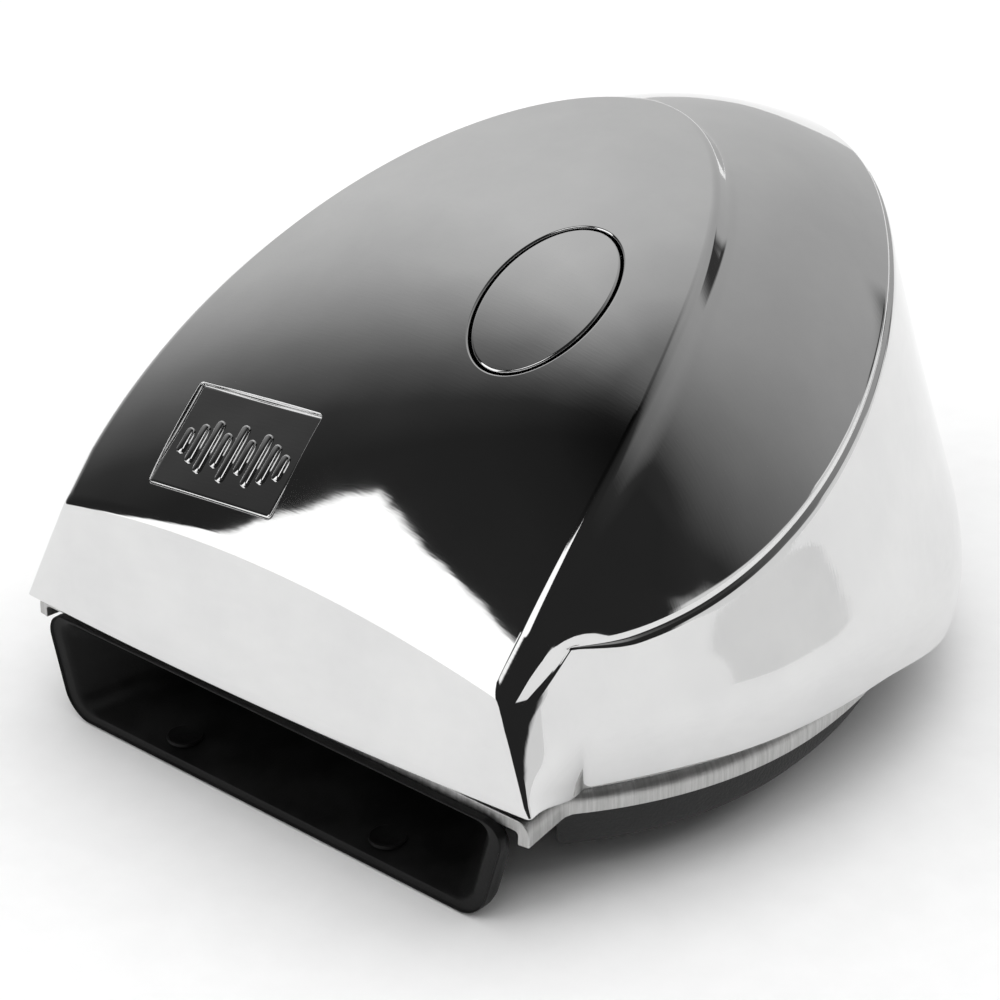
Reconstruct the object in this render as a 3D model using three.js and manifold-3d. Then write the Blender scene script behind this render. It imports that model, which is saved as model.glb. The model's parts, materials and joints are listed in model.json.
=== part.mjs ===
// Compact electric horn for a boat deck: a chromed cast cover over a steel pan, a moulded
// trumpet with a wide mouth, a rubber base and a vibrating-diaphragm driver.
// Millimetres, +Z up, the mouth faces -Y. Standalone: needs only three and manifold-3d.
import * as THREE from 'three';
import { mergeVertices } from 'three/addons/utils/BufferGeometryUtils.js';
import Module from 'manifold-3d';

const wasm = await Module();
wasm.setup();

// ---------- driving dimensions ----------
const CENTRE_Y = -13.6; // where the pan's round part is centred, so the whole part is centred on Y
const GAP = 0.3; // clearance between touching pieces
const WALL = 2.2; // cast wall of the cover

// long profile of the raised tongue, as a cubic from the brow to the tail
const BROW = { y: -38.2, z: 32.9, rise: 53.3, reach: 28.3, halfWidth: 34, bow: 0.4 };
const TAIL = { y: 58, z: 65.1, fall: -20.1, reach: 35.5 };
const CROWN = { base: 0.00488, perY: 0.00003 }; // drop to the sides per x squared
const TONGUE = { length: 69.6, power: 1.85, tipAngle: 4 };
const STEP = { out: 2, down: 2.4 }; // wall between the tongue and the lower lobes
const LOBE = { halfWidth: 44, y: -1.7, rear: 60.8, front: 50, low: 31.8, high: 61.5, yLow: -29.4, run: 105.6, tip: -33.5 };
const LOBE_SHAPE = { pinch: 0.045, bow: 1.6 }; // how far the rear corners are drawn in, and the band's rise
const RIM = { halfWidth: 50.3, y: 10, rear: 56.5, front: 58.7, z: 15, rearZ: 9.5, run: 28, tip: -40.1 };
const BULGE = { out: 1.3, up: 7 }; // the skirt is widest a little above its rim
const FASCIA = { halfWidth: 40.2, y: -39.3, bow: 1.3 }; // lower edge of the front face
const DOWN = { foot: 0.18, lobe: 0.3, bulge: 0.8 }; // where side lines meet the front corner, as shares of its height
const TIP = 0.88; // share of each side's columns that lie behind the lobe tip

const CAP = { x: 12.35, y: -4.8, a: 7.05, b: 11.5, turn: 6, stem: 3, stemDepth: 7 };
const PLATE = { x: -12.4, y: -31, width: 19.9, height: 13.5, recess: 1.3, thickness: 0.6 };

const PAN = { radius: 49.1, rear: 60, top: 14.7, bottom: 11.7, sheet: 1.5, snout: 39.2, front: -40.4 };
const PAN_HOLE = { halfWidth: 28.5, front: -30.5, shoulder: 17, rearHalfWidth: 23.5, rear: 41 };
const SNOUT_JOIN = -31; // where the pan's round part meets its straight-sided snout
const BASE = { inset: 2.9, lip: 3.6, top: 12.9, shoulder: 6, web: 9.5, slope: 11, foot: 8, footHigh: 3 };
const BASE_OPENING = { halfWidth: 35.5, rear: -17 };
const COVER_SCREW = { x: 17, y: 45, boss: 3.1, bossTop: 60, shank: 1.4, depth: 12, head: 2.8, headHigh: 2 };
const CROSS = { length: 3.4, width: 0.7, depth: 1 }; // recess in a cover screw's head
const DECK_HOLE = { x: 32.2, y: 4, radius: 2.3 };
const GROMMET = { x: 30, y: 25, hole: 4.2, bore: 2.6, flange: 5.6, lip: 1.4 };

const DRIVER = { z: 31.8, flange: 27, can: 22.2, front: 12.3, back: 40, sheet: 1.2, disc: 0.3, seal: 0.6 };
const RIVET = { count: 6, circle: 24.9, shank: 1.3, head: 2.3, headHigh: 1.6 };
const HORN = { flange: 2.5, back: 10.5, throat: 8, wall: 2 };
const COIL = { front: 22, back: 35, bore: 6.4, hub: 7.6, winding: 12.5, cheek: 13.6, cheekWidth: 1.2 };
const CORE = { radius: 6, front: 20.5, back: 38.5, stud: 3, studEnd: 49, nut: 5.6, nutHigh: 4 };
const ARMATURE = { front: 12.9, back: 19.3, radius: 7.2, collar: 12, collarBack: 15.05, stud: 2.6, washer: 6 };
const BREAKER = {
  arm: -16.2, strip: -17.9, thick: 0.5, tab: 15.4, tabTop: -10.8, pivotY: 30, width: 6, contact: -14.45, boardLow: -20.2,
};
const TUNING = { y: 20, radius: 1.6, tip: -18.5, end: -27, head: 2, nut: 3.2, slot: 0.6 };
const BRACKET = { halfWidth: 10, top: 42, sheet: 2, footEnd: 56 };
const TERMINAL = { x: 6.5, z: 15.2, width: 6.3, thick: 0.8, end: 50, boardWidth: 22, boardHigh: 7, window: 20.6 };
const SIDES = 20;

// ---------- looks ----------
const chrome = new THREE.MeshStandardMaterial({ color: 0xd9dadb, metalness: 1, roughness: 0.05 });
const satinSteel = new THREE.MeshStandardMaterial({ color: 0xb4b4b0, metalness: 1, roughness: 0.4 });
const blackPlastic = new THREE.MeshStandardMaterial({ color: 0x0d0d0e, metalness: 0, roughness: 0.45 });
const blackRubber = new THREE.MeshStandardMaterial({ color: 0x111112, metalness: 0, roughness: 0.8 });
const zincSteel = new THREE.MeshStandardMaterial({ color: 0x9a9c9c, metalness: 1, roughness: 0.35 });
const copperWire = new THREE.MeshStandardMaterial({ color: 0x9c4a22, metalness: 0.8, roughness: 0.35 });
const brassMetal = new THREE.MeshStandardMaterial({ color: 0xb8934a, metalness: 1, roughness: 0.3 });
const brownBoard = new THREE.MeshStandardMaterial({ color: 0x4a2f1c, metalness: 0, roughness: 0.6 });

// ---------- small geometry helpers ----------
const radians = THREE.MathUtils.degToRad;
const mix = (a, b, t) => a + (b - a) * t;
const mixPoint = (a, b, t) => a.map((value, i) => mix(value, b[i], t));
const smooth = (t) => THREE.MathUtils.smoothstep(t, 0, 1);
const point = (x, y, z) => new THREE.Vector3(x, y, z);

function solid(geometry) {
  const bare = geometry.clone();
  bare.deleteAttribute('normal');
  bare.deleteAttribute('uv');
  const merged = mergeVertices(bare, 1e-4);
  const vertProperties = Float32Array.from(merged.attributes.position.array);
  const triVerts = Uint32Array.from(merged.index.array);
  return new wasm.Manifold(new wasm.Mesh({ numProp: 3, vertProperties, triVerts }));
}

function geometryOf(shape) {
  const mesh = shape.getMesh();
  const geometry = new THREE.BufferGeometry();
  geometry.setAttribute('position', new THREE.BufferAttribute(Float32Array.from(mesh.vertProperties), 3));
  geometry.setIndex(new THREE.BufferAttribute(Uint32Array.from(mesh.triVerts), 1));
  return geometry;
}

// closed skin through a list of closed loops; caps its ends, or joins last to first when tubular
function skin(loops, tubular = false) {
  const count = loops[0].length;
  const positions = loops.flat(2);
  const triangles = [];
  const bands = tubular ? loops.length : loops.length - 1;
  for (let i = 0; i < bands; i++) {
    const next = (i + 1) % loops.length;
    for (let j = 0; j < count; j++) {
      const k = (j + 1) % count;
      const [a, b, c, d] = [i * count + j, i * count + k, next * count + k, next * count + j];
      triangles.push(a, b, c, a, c, d);
    }
  }
  if (!tubular) {
    const ends = [[0, loops[0], false], [(loops.length - 1) * count, loops[loops.length - 1], true]];
    for (const [start, loop, isLast] of ends) {
      const middle = [0, 1, 2].map((axis) => loop.reduce((sum, p) => sum + p[axis], 0) / count);
      const hub = positions.length / 3;
      positions.push(...middle);
      for (let j = 0; j < count; j++) {
        const k = (j + 1) % count;
        if (isLast) triangles.push(start + j, start + k, hub);
        else triangles.push(start + k, start + j, hub);
      }
    }
  }
  const geometry = new THREE.BufferGeometry();
  geometry.setAttribute('position', new THREE.BufferAttribute(Float32Array.from(positions), 3));
  geometry.setIndex(triangles);
  const body = solid(geometry);
  if (body.volume() > 0) return body;
  for (let i = 0; i < triangles.length; i += 3) {
    [triangles[i + 1], triangles[i + 2]] = [triangles[i + 2], triangles[i + 1]];
  }
  geometry.setIndex(triangles);
  return solid(geometry);
}

function moved(geometry, x, y, z) {
  geometry.translate(x, y, z);
  return solid(geometry);
}

const block = (width, depth, height, x, y, z) =>
  moved(new THREE.BoxGeometry(width, depth, height), x, y, z);

// cylinder or ring along Y, from y0 to y1, centred on x, z
function rod(radius, y0, y1, x, z, sides = SIDES) {
  return moved(new THREE.CylinderGeometry(radius, radius, y1 - y0, sides), x, (y0 + y1) / 2, z);
}

const pipe = (outer, inner, y0, y1, x, z, sides = SIDES) =>
  rod(outer, y0, y1, x, z, sides).subtract(rod(inner, y0 - 1, y1 + 1, x, z, sides));

function upright(radius, z0, z1, x, y, sides = SIDES) {
  const geometry = new THREE.CylinderGeometry(radius, radius, z1 - z0, sides);
  geometry.rotateX(Math.PI / 2);
  return moved(geometry, x, y, (z0 + z1) / 2);
}

function slab(outline, z0, z1) {
  const geometry = new THREE.ExtrudeGeometry(new THREE.Shape(outline), { depth: z1 - z0, bevelEnabled: false });
  geometry.translate(0, 0, z0);
  return solid(geometry);
}

const root = new THREE.Group();
root.position.y = CENTRE_Y;

function add(name, shape, material) {
  const mesh = new THREE.Mesh(geometryOf(shape), material);
  mesh.name = name;
  root.add(mesh);
  return mesh;
}

// ---------- surface of the cover ----------
const profileKnots = (() => {
  const rise = radians(BROW.rise);
  const fall = radians(TAIL.fall);
  return [
    [BROW.y, BROW.z],
    [BROW.y + BROW.reach * Math.cos(rise), BROW.z + BROW.reach * Math.sin(rise)],
    [TAIL.y - TAIL.reach * Math.cos(fall), TAIL.z - TAIL.reach * Math.sin(fall)],
    [TAIL.y, TAIL.z],
  ];
})();

function bezier(knots, t, axis) {
  const u = 1 - t;
  const weights = [u * u * u, 3 * u * u * t, 3 * u * t * t, t * t * t];
  return weights.reduce((sum, weight, i) => sum + weight * knots[i][axis], 0);
}

function ridgeHeight(y) {
  let low = -0.2;
  let high = 1.2;
  for (let i = 0; i < 40; i++) {
    const middle = (low + high) / 2;
    if (bezier(profileKnots, middle, 0) < y) low = middle;
    else high = middle;
  }
  return bezier(profileKnots, low, 1);
}

const topHeight = (x, y) => ridgeHeight(y) - (CROWN.base + CROWN.perY * y) * x * x;

// each line of the right side runs from the tail, s = 0, to the front corner, s = 1
const behindTip = (s) => Math.min(s / TIP, 1);
const pastTip = (s) => Math.max((s - TIP) / (1 - TIP), 0);

function tongueOutline(s, out) {
  const angle = radians(s < TIP ? mix(90, TONGUE.tipAngle, behindTip(s)) : mix(TONGUE.tipAngle, 0, pastTip(s)));
  const x = (BROW.halfWidth + out) * Math.cos(angle) ** (2 / TONGUE.power);
  return [x, BROW.y + (TONGUE.length + out) * Math.sin(angle)];
}

const cornerLine = (t) =>
  mixPoint([BROW.halfWidth, BROW.y, topHeight(BROW.halfWidth, BROW.y)], [FASCIA.halfWidth, FASCIA.y, RIM.z], t);

function tongueEdge(s) {
  const [x, y] = tongueOutline(s, 0);
  return [x, y, topHeight(x, y)];
}

function wallFoot(s) {
  const [x, y] = tongueOutline(Math.min(s, TIP), STEP.out);
  return mixPoint([x, y, topHeight(x, y) - STEP.down], cornerLine(DOWN.foot), pastTip(s));
}

function lobeEdge(s) {
  const angle = radians(mix(90, LOBE.tip, behindTip(s)));
  const drawn = angle > 0 ? 1 - LOBE_SHAPE.pinch * Math.sin(2 * angle) ** 2 : 1;
  const x = LOBE.halfWidth * Math.cos(angle) * drawn;
  const y = LOBE.y + (angle > 0 ? LOBE.rear : LOBE.front) * Math.sin(angle) * drawn;
  const z = mix(LOBE.low, LOBE.high, smooth((y - LOBE.yLow) / LOBE.run));
  return mixPoint([x, y, z], cornerLine(DOWN.lobe), pastTip(s));
}

function rimEdge(s, out) {
  const angle = radians(mix(90, RIM.tip, behindTip(s)));
  const x = (RIM.halfWidth + out) * Math.cos(angle);
  const y = RIM.y + ((angle > 0 ? RIM.rear : RIM.front) + out) * Math.sin(angle);
  const z = mix(RIM.z, RIM.rearZ, smooth((y - RIM.y) / RIM.run));
  return mixPoint([x, y, z], cornerLine(1), pastTip(s));
}

function bulgeEdge(s) {
  const fade = 1 - pastTip(s);
  const [x, y, z] = rimEdge(s, BULGE.out * fade);
  return mixPoint(cornerLine(DOWN.bulge), [x, y, z + BULGE.up], s > TIP ? fade : 1);
}

// the lobe top and the skirt are each a short bowed band between two lines
function lobeBand(s, t) {
  const p = mixPoint(wallFoot(s), lobeEdge(s), t);
  p[2] += LOBE_SHAPE.bow * Math.sin(Math.PI * t) * (1 - pastTip(s)) * Math.min(1, 6 * (1 - behindTip(s)));
  return p;
}

function skirtBand(s, t) {
  const [top, low] = [lobeEdge(s), bulgeEdge(s)];
  const spread = pastTip(s) > 0 ? t : t ** 1.25;
  return [mix(top[0], low[0], spread), mix(top[1], low[1], spread), mix(top[2], low[2], t)];
}

// a loop goes round the right side, across the front and back up the left side
function loopOf(sidePoint, frontPoint) {
  const right = [];
  const columns = 25;
  for (let i = 1; i < columns; i++) right.push(i / columns);
  const side = right.map(sidePoint);
  const front = [];
  const across = 12;
  for (let i = 0; i <= across; i++) front.push(frontPoint(1 - (2 * i) / across));
  const left = side.map(([x, y, z]) => [-x, y, z]).reverse();
  return [sidePoint(0), ...side, ...front, ...left];
}

// the front face, u across from 1 on the right to -1, t from the brow down to its lower edge
function facePoint(u, t) {
  const corner = cornerLine(t);
  const x = corner[0] * u;
  const y = corner[1] - mix(BROW.bow, FASCIA.bow, t) * (1 - u * u);
  const brow = topHeight(BROW.halfWidth * u, BROW.y - BROW.bow * (1 - u * u));
  return [x, y, mix(brow, RIM.z, t)];
}

const AXIS = [0, 4];
function inset([x, y, z], distance, down) {
  const [dx, dy] = [x - AXIS[0], y - AXIS[1]];
  const reach = Math.hypot(dx, dy);
  const share = Math.max(0, 1 - distance / reach);
  return [AXIS[0] + dx * share, AXIS[1] + dy * share, z - down];
}

function tongueLoop(scale, down, distance = 0) {
  const shrink = ([x, y]) => {
    const px = AXIS[0] + (x - AXIS[0]) * scale;
    const py = AXIS[1] + (y - AXIS[1]) * scale;
    const [ix, iy] = inset([px, py, 0], distance, 0);
    return [ix, iy, topHeight(ix, iy) - down];
  };
  return loopOf((s) => shrink(tongueEdge(s)), (u) => shrink(facePoint(u, 0)));
}

function makeCoverShell() {
  const outer = [0.25, 0.5, 0.75, 0.93, 1].map((scale) => tongueLoop(scale, 0));
  outer.push(loopOf(wallFoot, (u) => facePoint(u, DOWN.foot)));
  outer.push(loopOf((s) => lobeBand(s, 0.5), (u) => facePoint(u, (DOWN.foot + DOWN.lobe) / 2)));
  outer.push(loopOf(lobeEdge, (u) => facePoint(u, DOWN.lobe)));
  for (const t of [0.33, 0.67]) {
    outer.push(loopOf((s) => skirtBand(s, t), (u) => facePoint(u, mix(DOWN.lobe, DOWN.bulge, t))));
  }
  outer.push(loopOf(bulgeEdge, (u) => facePoint(u, DOWN.bulge)));
  outer.push(loopOf((s) => rimEdge(s, 0), (u) => facePoint(u, 1)));

  const thick = WALL * 1.25;
  const inner = [
    loopOf((s) => inset(rimEdge(s, 0), thick, 0), (u) => inset(facePoint(u, 1), thick, 0)),
    loopOf((s) => inset(bulgeEdge(s), thick, 0), (u) => inset(facePoint(u, DOWN.bulge), thick, 0)),
    loopOf((s) => inset(skirtBand(s, 0.5), thick, 0), (u) => inset(facePoint(u, 0.55), thick, 0)),
    loopOf((s) => inset(lobeEdge(s), thick, WALL), (u) => inset(facePoint(u, DOWN.lobe), thick, WALL)),
    loopOf((s) => inset(wallFoot(s), thick, WALL), (u) => inset(facePoint(u, DOWN.foot), thick, WALL)),
    tongueLoop(1, WALL, thick),
    tongueLoop(0.7, WALL),
    tongueLoop(0.35, WALL),
  ];
  return skin([...outer, ...inner]);
}

// frame on the tongue: columns are across, along the slope and outward
function tongueFrame(x, y) {
  const step = 0.5;
  const across = point(2 * step, 0, topHeight(x + step, y) - topHeight(x - step, y)).normalize();
  const along = point(0, 2 * step, topHeight(x, y + step) - topHeight(x, y - step)).normalize();
  const outward = across.clone().cross(along).normalize();
  const level = outward.clone().cross(across).normalize();
  const frame = new THREE.Matrix4().makeBasis(across, level, outward);
  return frame.setPosition(x, y, topHeight(x, y));
}

function ovalRod(grow, depth, height) {
  const curve = new THREE.EllipseCurve(0, 0, CAP.a + grow, CAP.b + grow, 0, 2 * Math.PI, false, radians(CAP.turn));
  const outline = new THREE.Shape(curve.getPoints(32).slice(0, 32));
  const geometry = new THREE.ExtrudeGeometry(outline, { depth: depth + height, bevelEnabled: false });
  geometry.translate(0, 0, -depth);
  geometry.applyMatrix4(tongueFrame(CAP.x, CAP.y));
  return solid(geometry);
}

function plateBlock(grow, low, high) {
  const geometry = new THREE.BoxGeometry(PLATE.width + 2 * grow, PLATE.height + 2 * grow, high - low);
  geometry.translate(0, 0, (low + high) / 2);
  geometry.applyMatrix4(tongueFrame(PLATE.x, PLATE.y));
  return solid(geometry);
}

// ---------- cover, cap, name plate ----------
function coverPieces() {
  const shell = makeCoverShell();
  let cover = shell.subtract(ovalRod(0.35, 6, 6)).subtract(plateBlock(0, -PLATE.recess, 4));
  cover = cover.subtract(slab(panOutline(-GAP), 0, PAN.top + 0.8 * GAP)); // seat over the pan's edge
  for (const side of [-1, 1]) {
    const x = side * COVER_SCREW.x;
    cover = cover.add(upright(COVER_SCREW.boss, PAN.top + GAP, COVER_SCREW.bossTop, x, COVER_SCREW.y, 12));
    const holeTop = PAN.top + COVER_SCREW.depth + 2;
    cover = cover.subtract(upright(COVER_SCREW.shank + GAP, 0, holeTop, x, COVER_SCREW.y, 12));
  }
  add('cover', cover, chrome);

  const stem = new THREE.CylinderGeometry(CAP.stem, CAP.stem, CAP.stemDepth, 12);
  stem.rotateX(Math.PI / 2);
  stem.translate(0, 0, -1 - CAP.stemDepth / 2);
  stem.applyMatrix4(tongueFrame(CAP.x, CAP.y));
  add('cover_cap', shell.intersect(ovalRod(0, 6, 6)).add(solid(stem)), chrome);

  const low = GAP - PLATE.recess;
  add('name_plate', plateBlock(-GAP, low, low + PLATE.thickness), chrome);
}

// ---------- pan, base and their fixings ----------
function panOutline(inset, steps = 48) {
  const outline = [];
  for (let i = 0; i < steps; i++) {
    const angle = (2 * Math.PI * i) / steps;
    const depth = (angle < Math.PI ? PAN.rear : PAN.radius) - inset;
    outline.push(new THREE.Vector2((PAN.radius - inset) * Math.cos(angle), depth * Math.sin(angle)));
  }
  return outline;
}

function panBody(inset, low, high, forward) {
  const side = PAN.snout - inset;
  const snout = [[-side, forward], [side, forward], [PAN.snout - 2 - inset, -20], [2 + inset - PAN.snout, -20]];
  const round = slab(panOutline(inset), low, high);
  const ahead = block(4 * PAN.radius, PAN.radius, 4 * PAN.top, 0, SNOUT_JOIN - PAN.radius / 2, 0);
  return round.subtract(ahead).add(slab(snout.map(([x, y]) => new THREE.Vector2(x, y)), low, high));
}

function panPiece() {
  const under = PAN.top - PAN.sheet;
  let pan = panBody(0, PAN.bottom, PAN.top, PAN.front);
  pan = pan.subtract(panBody(PAN.sheet, PAN.bottom - 1, under, PAN.front - 5));
  const { halfWidth, front, shoulder, rearHalfWidth, rear } = PAN_HOLE;
  pan = pan.subtract(block(2 * halfWidth, shoulder - front, 10, 0, (shoulder + front) / 2, PAN.top));
  pan = pan.subtract(block(2 * rearHalfWidth, rear - front, 10, 0, (rear + front) / 2, PAN.top));
  for (const side of [-1, 1]) {
    pan = pan.subtract(upright(COVER_SCREW.shank + GAP, 10, 20, side * COVER_SCREW.x, COVER_SCREW.y, 12));
    pan = pan.subtract(upright(DECK_HOLE.radius, 10, 20, side * DECK_HOLE.x, DECK_HOLE.y, 12));
  }
  add('pan', pan.subtract(upright(GROMMET.hole + GAP, 10, 20, GROMMET.x, GROMMET.y, 16)), satinSteel);
}

function basePiece() {
  const deep = BASE.inset + BASE.slope;
  const section = [
    [BASE.inset, BASE.top],
    [BASE.inset, BASE.shoulder],
    [deep, 0],
    [deep + BASE.foot, 0],
    [deep + BASE.foot, BASE.footHigh],
    [BASE.inset + BASE.lip, BASE.web],
    [BASE.inset + BASE.lip, BASE.top],
  ];
  const loops = section.map(([inset, z]) => panOutline(inset, 44).map((p) => [p.x, p.y, z]));
  let base = skin(loops, true);
  const opening = BASE_OPENING.rear + 60;
  base = base.subtract(block(2 * BASE_OPENING.halfWidth, opening, 60, 0, BASE_OPENING.rear - opening / 2, 10));
  for (const side of [-1, 1]) {
    base = base.subtract(upright(COVER_SCREW.head + 1, -1, 20, side * COVER_SCREW.x, COVER_SCREW.y, 12));
    base = base.subtract(upright(DECK_HOLE.radius, -1, 20, side * DECK_HOLE.x, DECK_HOLE.y, 12));
  }
  base = base.subtract(upright(GROMMET.bore + 1, -1, BASE.web, GROMMET.x, GROMMET.y, 12));
  add('base_ring', base, blackRubber);
}

function coverScrews() {
  for (const [side, name] of [[-1, 'left'], [1, 'right']]) {
    const seat = PAN.top - PAN.sheet - GAP;
    const x = side * COVER_SCREW.x;
    const head = upright(COVER_SCREW.head, seat - COVER_SCREW.headHigh, seat, x, COVER_SCREW.y, 12);
    const shank = upright(COVER_SCREW.shank, seat - 1, PAN.top + COVER_SCREW.depth, x, COVER_SCREW.y, 10);
    const headFace = seat - COVER_SCREW.headHigh;
    const cross = block(CROSS.length, CROSS.width, 2 * CROSS.depth, x, COVER_SCREW.y, headFace)
      .add(block(CROSS.width, CROSS.length, 2 * CROSS.depth, x, COVER_SCREW.y, headFace));
    add(`cover_screw_${name}`, head.add(shank).subtract(cross), zincSteel);
  }
}

function grommetPiece() {
  const under = PAN.top - PAN.sheet;
  const body = upright(GROMMET.hole, under - GROMMET.lip, PAN.top + GROMMET.lip, GROMMET.x, GROMMET.y, 16)
    .add(upright(GROMMET.flange, PAN.top + GAP, PAN.top + GAP + GROMMET.lip, GROMMET.x, GROMMET.y, 16))
    .add(upright(GROMMET.flange, under - GAP - GROMMET.lip, under - GAP, GROMMET.x, GROMMET.y, 16));
  add('wire_grommet', body.subtract(upright(GROMMET.bore, 5, 25, GROMMET.x, GROMMET.y, 12)), blackRubber);
}

// ---------- trumpet ----------
// a section is a rounded trapezoid: half width, half height, middle height, squareness, side flare
function hornLoop({ y, a, b, z, n, flare }) {
  const loop = [];
  const steps = 36;
  for (let i = 0; i < steps; i++) {
    const angle = (2 * Math.PI * (i + 0.5)) / steps;
    const [c, s] = [Math.cos(angle), Math.sin(angle)];
    const up = Math.sign(s) * Math.abs(s) ** (2 / n);
    const across = Math.sign(c) * Math.abs(c) ** (2 / n);
    loop.push([across * (a + flare * b * up), y, z + b * up]);
  }
  return loop;
}

const section = (y, a, b, z, n, flare) => ({ y, a, b, z, n, flare });

function hornPiece() {
  const flangeFront = HORN.back - HORN.flange;
  const outer = [
    section(-40.2, 35.1, 6.45, 6.45, 9, 0.28),
    section(-38.2, 35.1, 6.45, 6.45, 9, 0.28),
    section(-37.2, 33, 5.4, 7.1, 9, 0.25),
    section(-29, 28.2, 5.2, 7.4, 6, 0.1),
    section(-19, 23.5, 7.5, 12.5, 4, 0),
    section(-9, 18, 9, 20.5, 3, 0),
    section(0, 12.5, 10, 29.5, 2.3, 0),
    section(flangeFront + 0.5, HORN.throat + HORN.wall, HORN.throat + HORN.wall, DRIVER.z, 2, 0),
  ];
  const inner = [
    section(HORN.back + 1, HORN.throat, HORN.throat, DRIVER.z, 2, 0),
    section(flangeFront, HORN.throat, HORN.throat, DRIVER.z, 2, 0),
    section(0, 10.5, 8, 29.5, 2.3, 0),
    section(-9, 16, 7, 20.5, 3, 0),
    section(-19, 21.5, 5.5, 12.5, 4, 0),
    section(-29, 26.2, 3.6, 7.2, 6, 0.1),
    section(-37, 30.6, 4.5, 6.8, 8, 0.25),
    section(-41, 32.7, 5.1, 6.9, 9, 0.28),
  ];
  const backPlate = section(HORN.back, HORN.throat + HORN.wall, HORN.throat + HORN.wall, DRIVER.z, 2, 0);
  const body = skin([...outer, backPlate].map(hornLoop));
  const bore = skin(inner.map(hornLoop));
  let horn = body.add(rod(DRIVER.flange, flangeFront, HORN.back, 0, DRIVER.z, 28)).subtract(bore);
  horn = withRivetHoles(horn);
  add('trumpet', horn, blackPlastic);
}

// ---------- driver ----------
const rivetSpots = [];
for (let i = 0; i < RIVET.count; i++) {
  const angle = (2 * Math.PI * (i + 0.5)) / RIVET.count;
  rivetSpots.push([RIVET.circle * Math.sin(angle), DRIVER.z + RIVET.circle * Math.cos(angle)]);
}

function withRivetHoles(shape) {
  let result = shape;
  for (const [x, z] of rivetSpots) result = result.subtract(rod(RIVET.shank + GAP, 0, 20, x, z, 10));
  return result;
}

function driverPieces() {
  const { z, flange, can, front, back, sheet } = DRIVER;
  const sealFront = HORN.back + GAP;
  const discFront = front - GAP - DRIVER.disc;
  const seal = pipe(flange, can - sheet, sealFront, sealFront + DRIVER.seal, 0, z, 28);
  add('diaphragm_seal', withRivetHoles(seal), blackRubber);
  const disc = pipe(flange, ARMATURE.stud + GAP, discFront, discFront + DRIVER.disc, 0, z, 28);
  add('diaphragm', withRivetHoles(disc), zincSteel);

  let housing = pipe(flange, can - sheet, front, front + sheet, 0, z, 28)
    .add(pipe(can, can - sheet, front, back, 0, z, 28))
    .add(pipe(can, CORE.stud + GAP, back - sheet, back, 0, z, 28));
  housing = withRivetHoles(housing)
    .subtract(upright(TUNING.radius + GAP, 0, z - can / 2, 0, TUNING.y, 10))
    .subtract(block(TERMINAL.window, 4, 3, 0, back, z + TERMINAL.z));
  add('driver_can', housing, zincSteel);

  rivetSpots.forEach(([x, spotZ], i) => {
    const flangeFront = HORN.back - HORN.flange - GAP;
    const tail = front + sheet + GAP;
    const rivet = rod(RIVET.shank, flangeFront - 1, tail + 1, x, spotZ, 10)
      .add(rod(RIVET.head, flangeFront - RIVET.headHigh, flangeFront, x, spotZ, 12))
      .add(rod(RIVET.head, tail, tail + RIVET.headHigh, x, spotZ, 12));
    add(`flange_rivet_${i + 1}`, rivet, zincSteel);
  });
}

function magnetPieces() {
  const { z, back } = DRIVER;
  const bobbin = pipe(COIL.hub, COIL.bore, COIL.front, COIL.back, 0, z)
    .add(pipe(COIL.cheek, COIL.bore, COIL.front, COIL.front + COIL.cheekWidth, 0, z))
    .add(pipe(COIL.cheek, COIL.bore, COIL.back - COIL.cheekWidth, COIL.back, 0, z));
  add('coil_bobbin', bobbin, blackPlastic);
  const windingFront = COIL.front + COIL.cheekWidth + GAP;
  const windingBack = COIL.back - COIL.cheekWidth - GAP;
  add('coil_winding', pipe(COIL.winding, COIL.hub + GAP, windingFront, windingBack, 0, z), copperWire);
  const core = rod(CORE.radius, CORE.front, CORE.back, 0, z)
    .add(rod(CORE.stud, CORE.back - 1, CORE.studEnd, 0, z, 12));
  add('magnet_core', core, zincSteel);

  const bracketFront = back + GAP;
  const bracketBack = bracketFront + BRACKET.sheet;
  const seat = PAN.top + GAP;
  const upstand = BRACKET.top - seat;
  const width = 2 * BRACKET.halfWidth;
  const stay = block(width, BRACKET.sheet, upstand, 0, bracketFront + BRACKET.sheet / 2, seat + upstand / 2);
  const footMiddle = (BRACKET.footEnd + bracketFront) / 2;
  const foot = block(width, BRACKET.footEnd - bracketFront, BRACKET.sheet, 0, footMiddle, seat + BRACKET.sheet / 2);
  const bracket = stay.add(foot)
    .subtract(rod(CORE.stud + GAP, back, back + 5, 0, z, 12));
  add('driver_bracket', bracket, zincSteel);
  const nutFront = bracketBack + GAP;
  const nut = rod(CORE.nut, nutFront, nutFront + CORE.nutHigh, 0, z, 6)
    .subtract(rod(CORE.stud + GAP, nutFront - 1, nutFront + CORE.nutHigh + 1, 0, z, 12));
  add('core_nut', nut, zincSteel);
}

function armaturePiece() {
  const { front, back, radius, collar, collarBack, stud, washer } = ARMATURE;
  const z = DRIVER.z;
  const discFront = DRIVER.front - GAP - DRIVER.disc;
  const shape = rod(radius, front, back, 0, z)
    .add(rod(collar, front + GAP, collarBack, 0, z))
    .add(rod(stud, discFront - 2, front + 1, 0, z, 12))
    .add(rod(washer, discFront - 2, discFront - 0.5, 0, z, 16));
  add('armature', shape, zincSteel);
}

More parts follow.
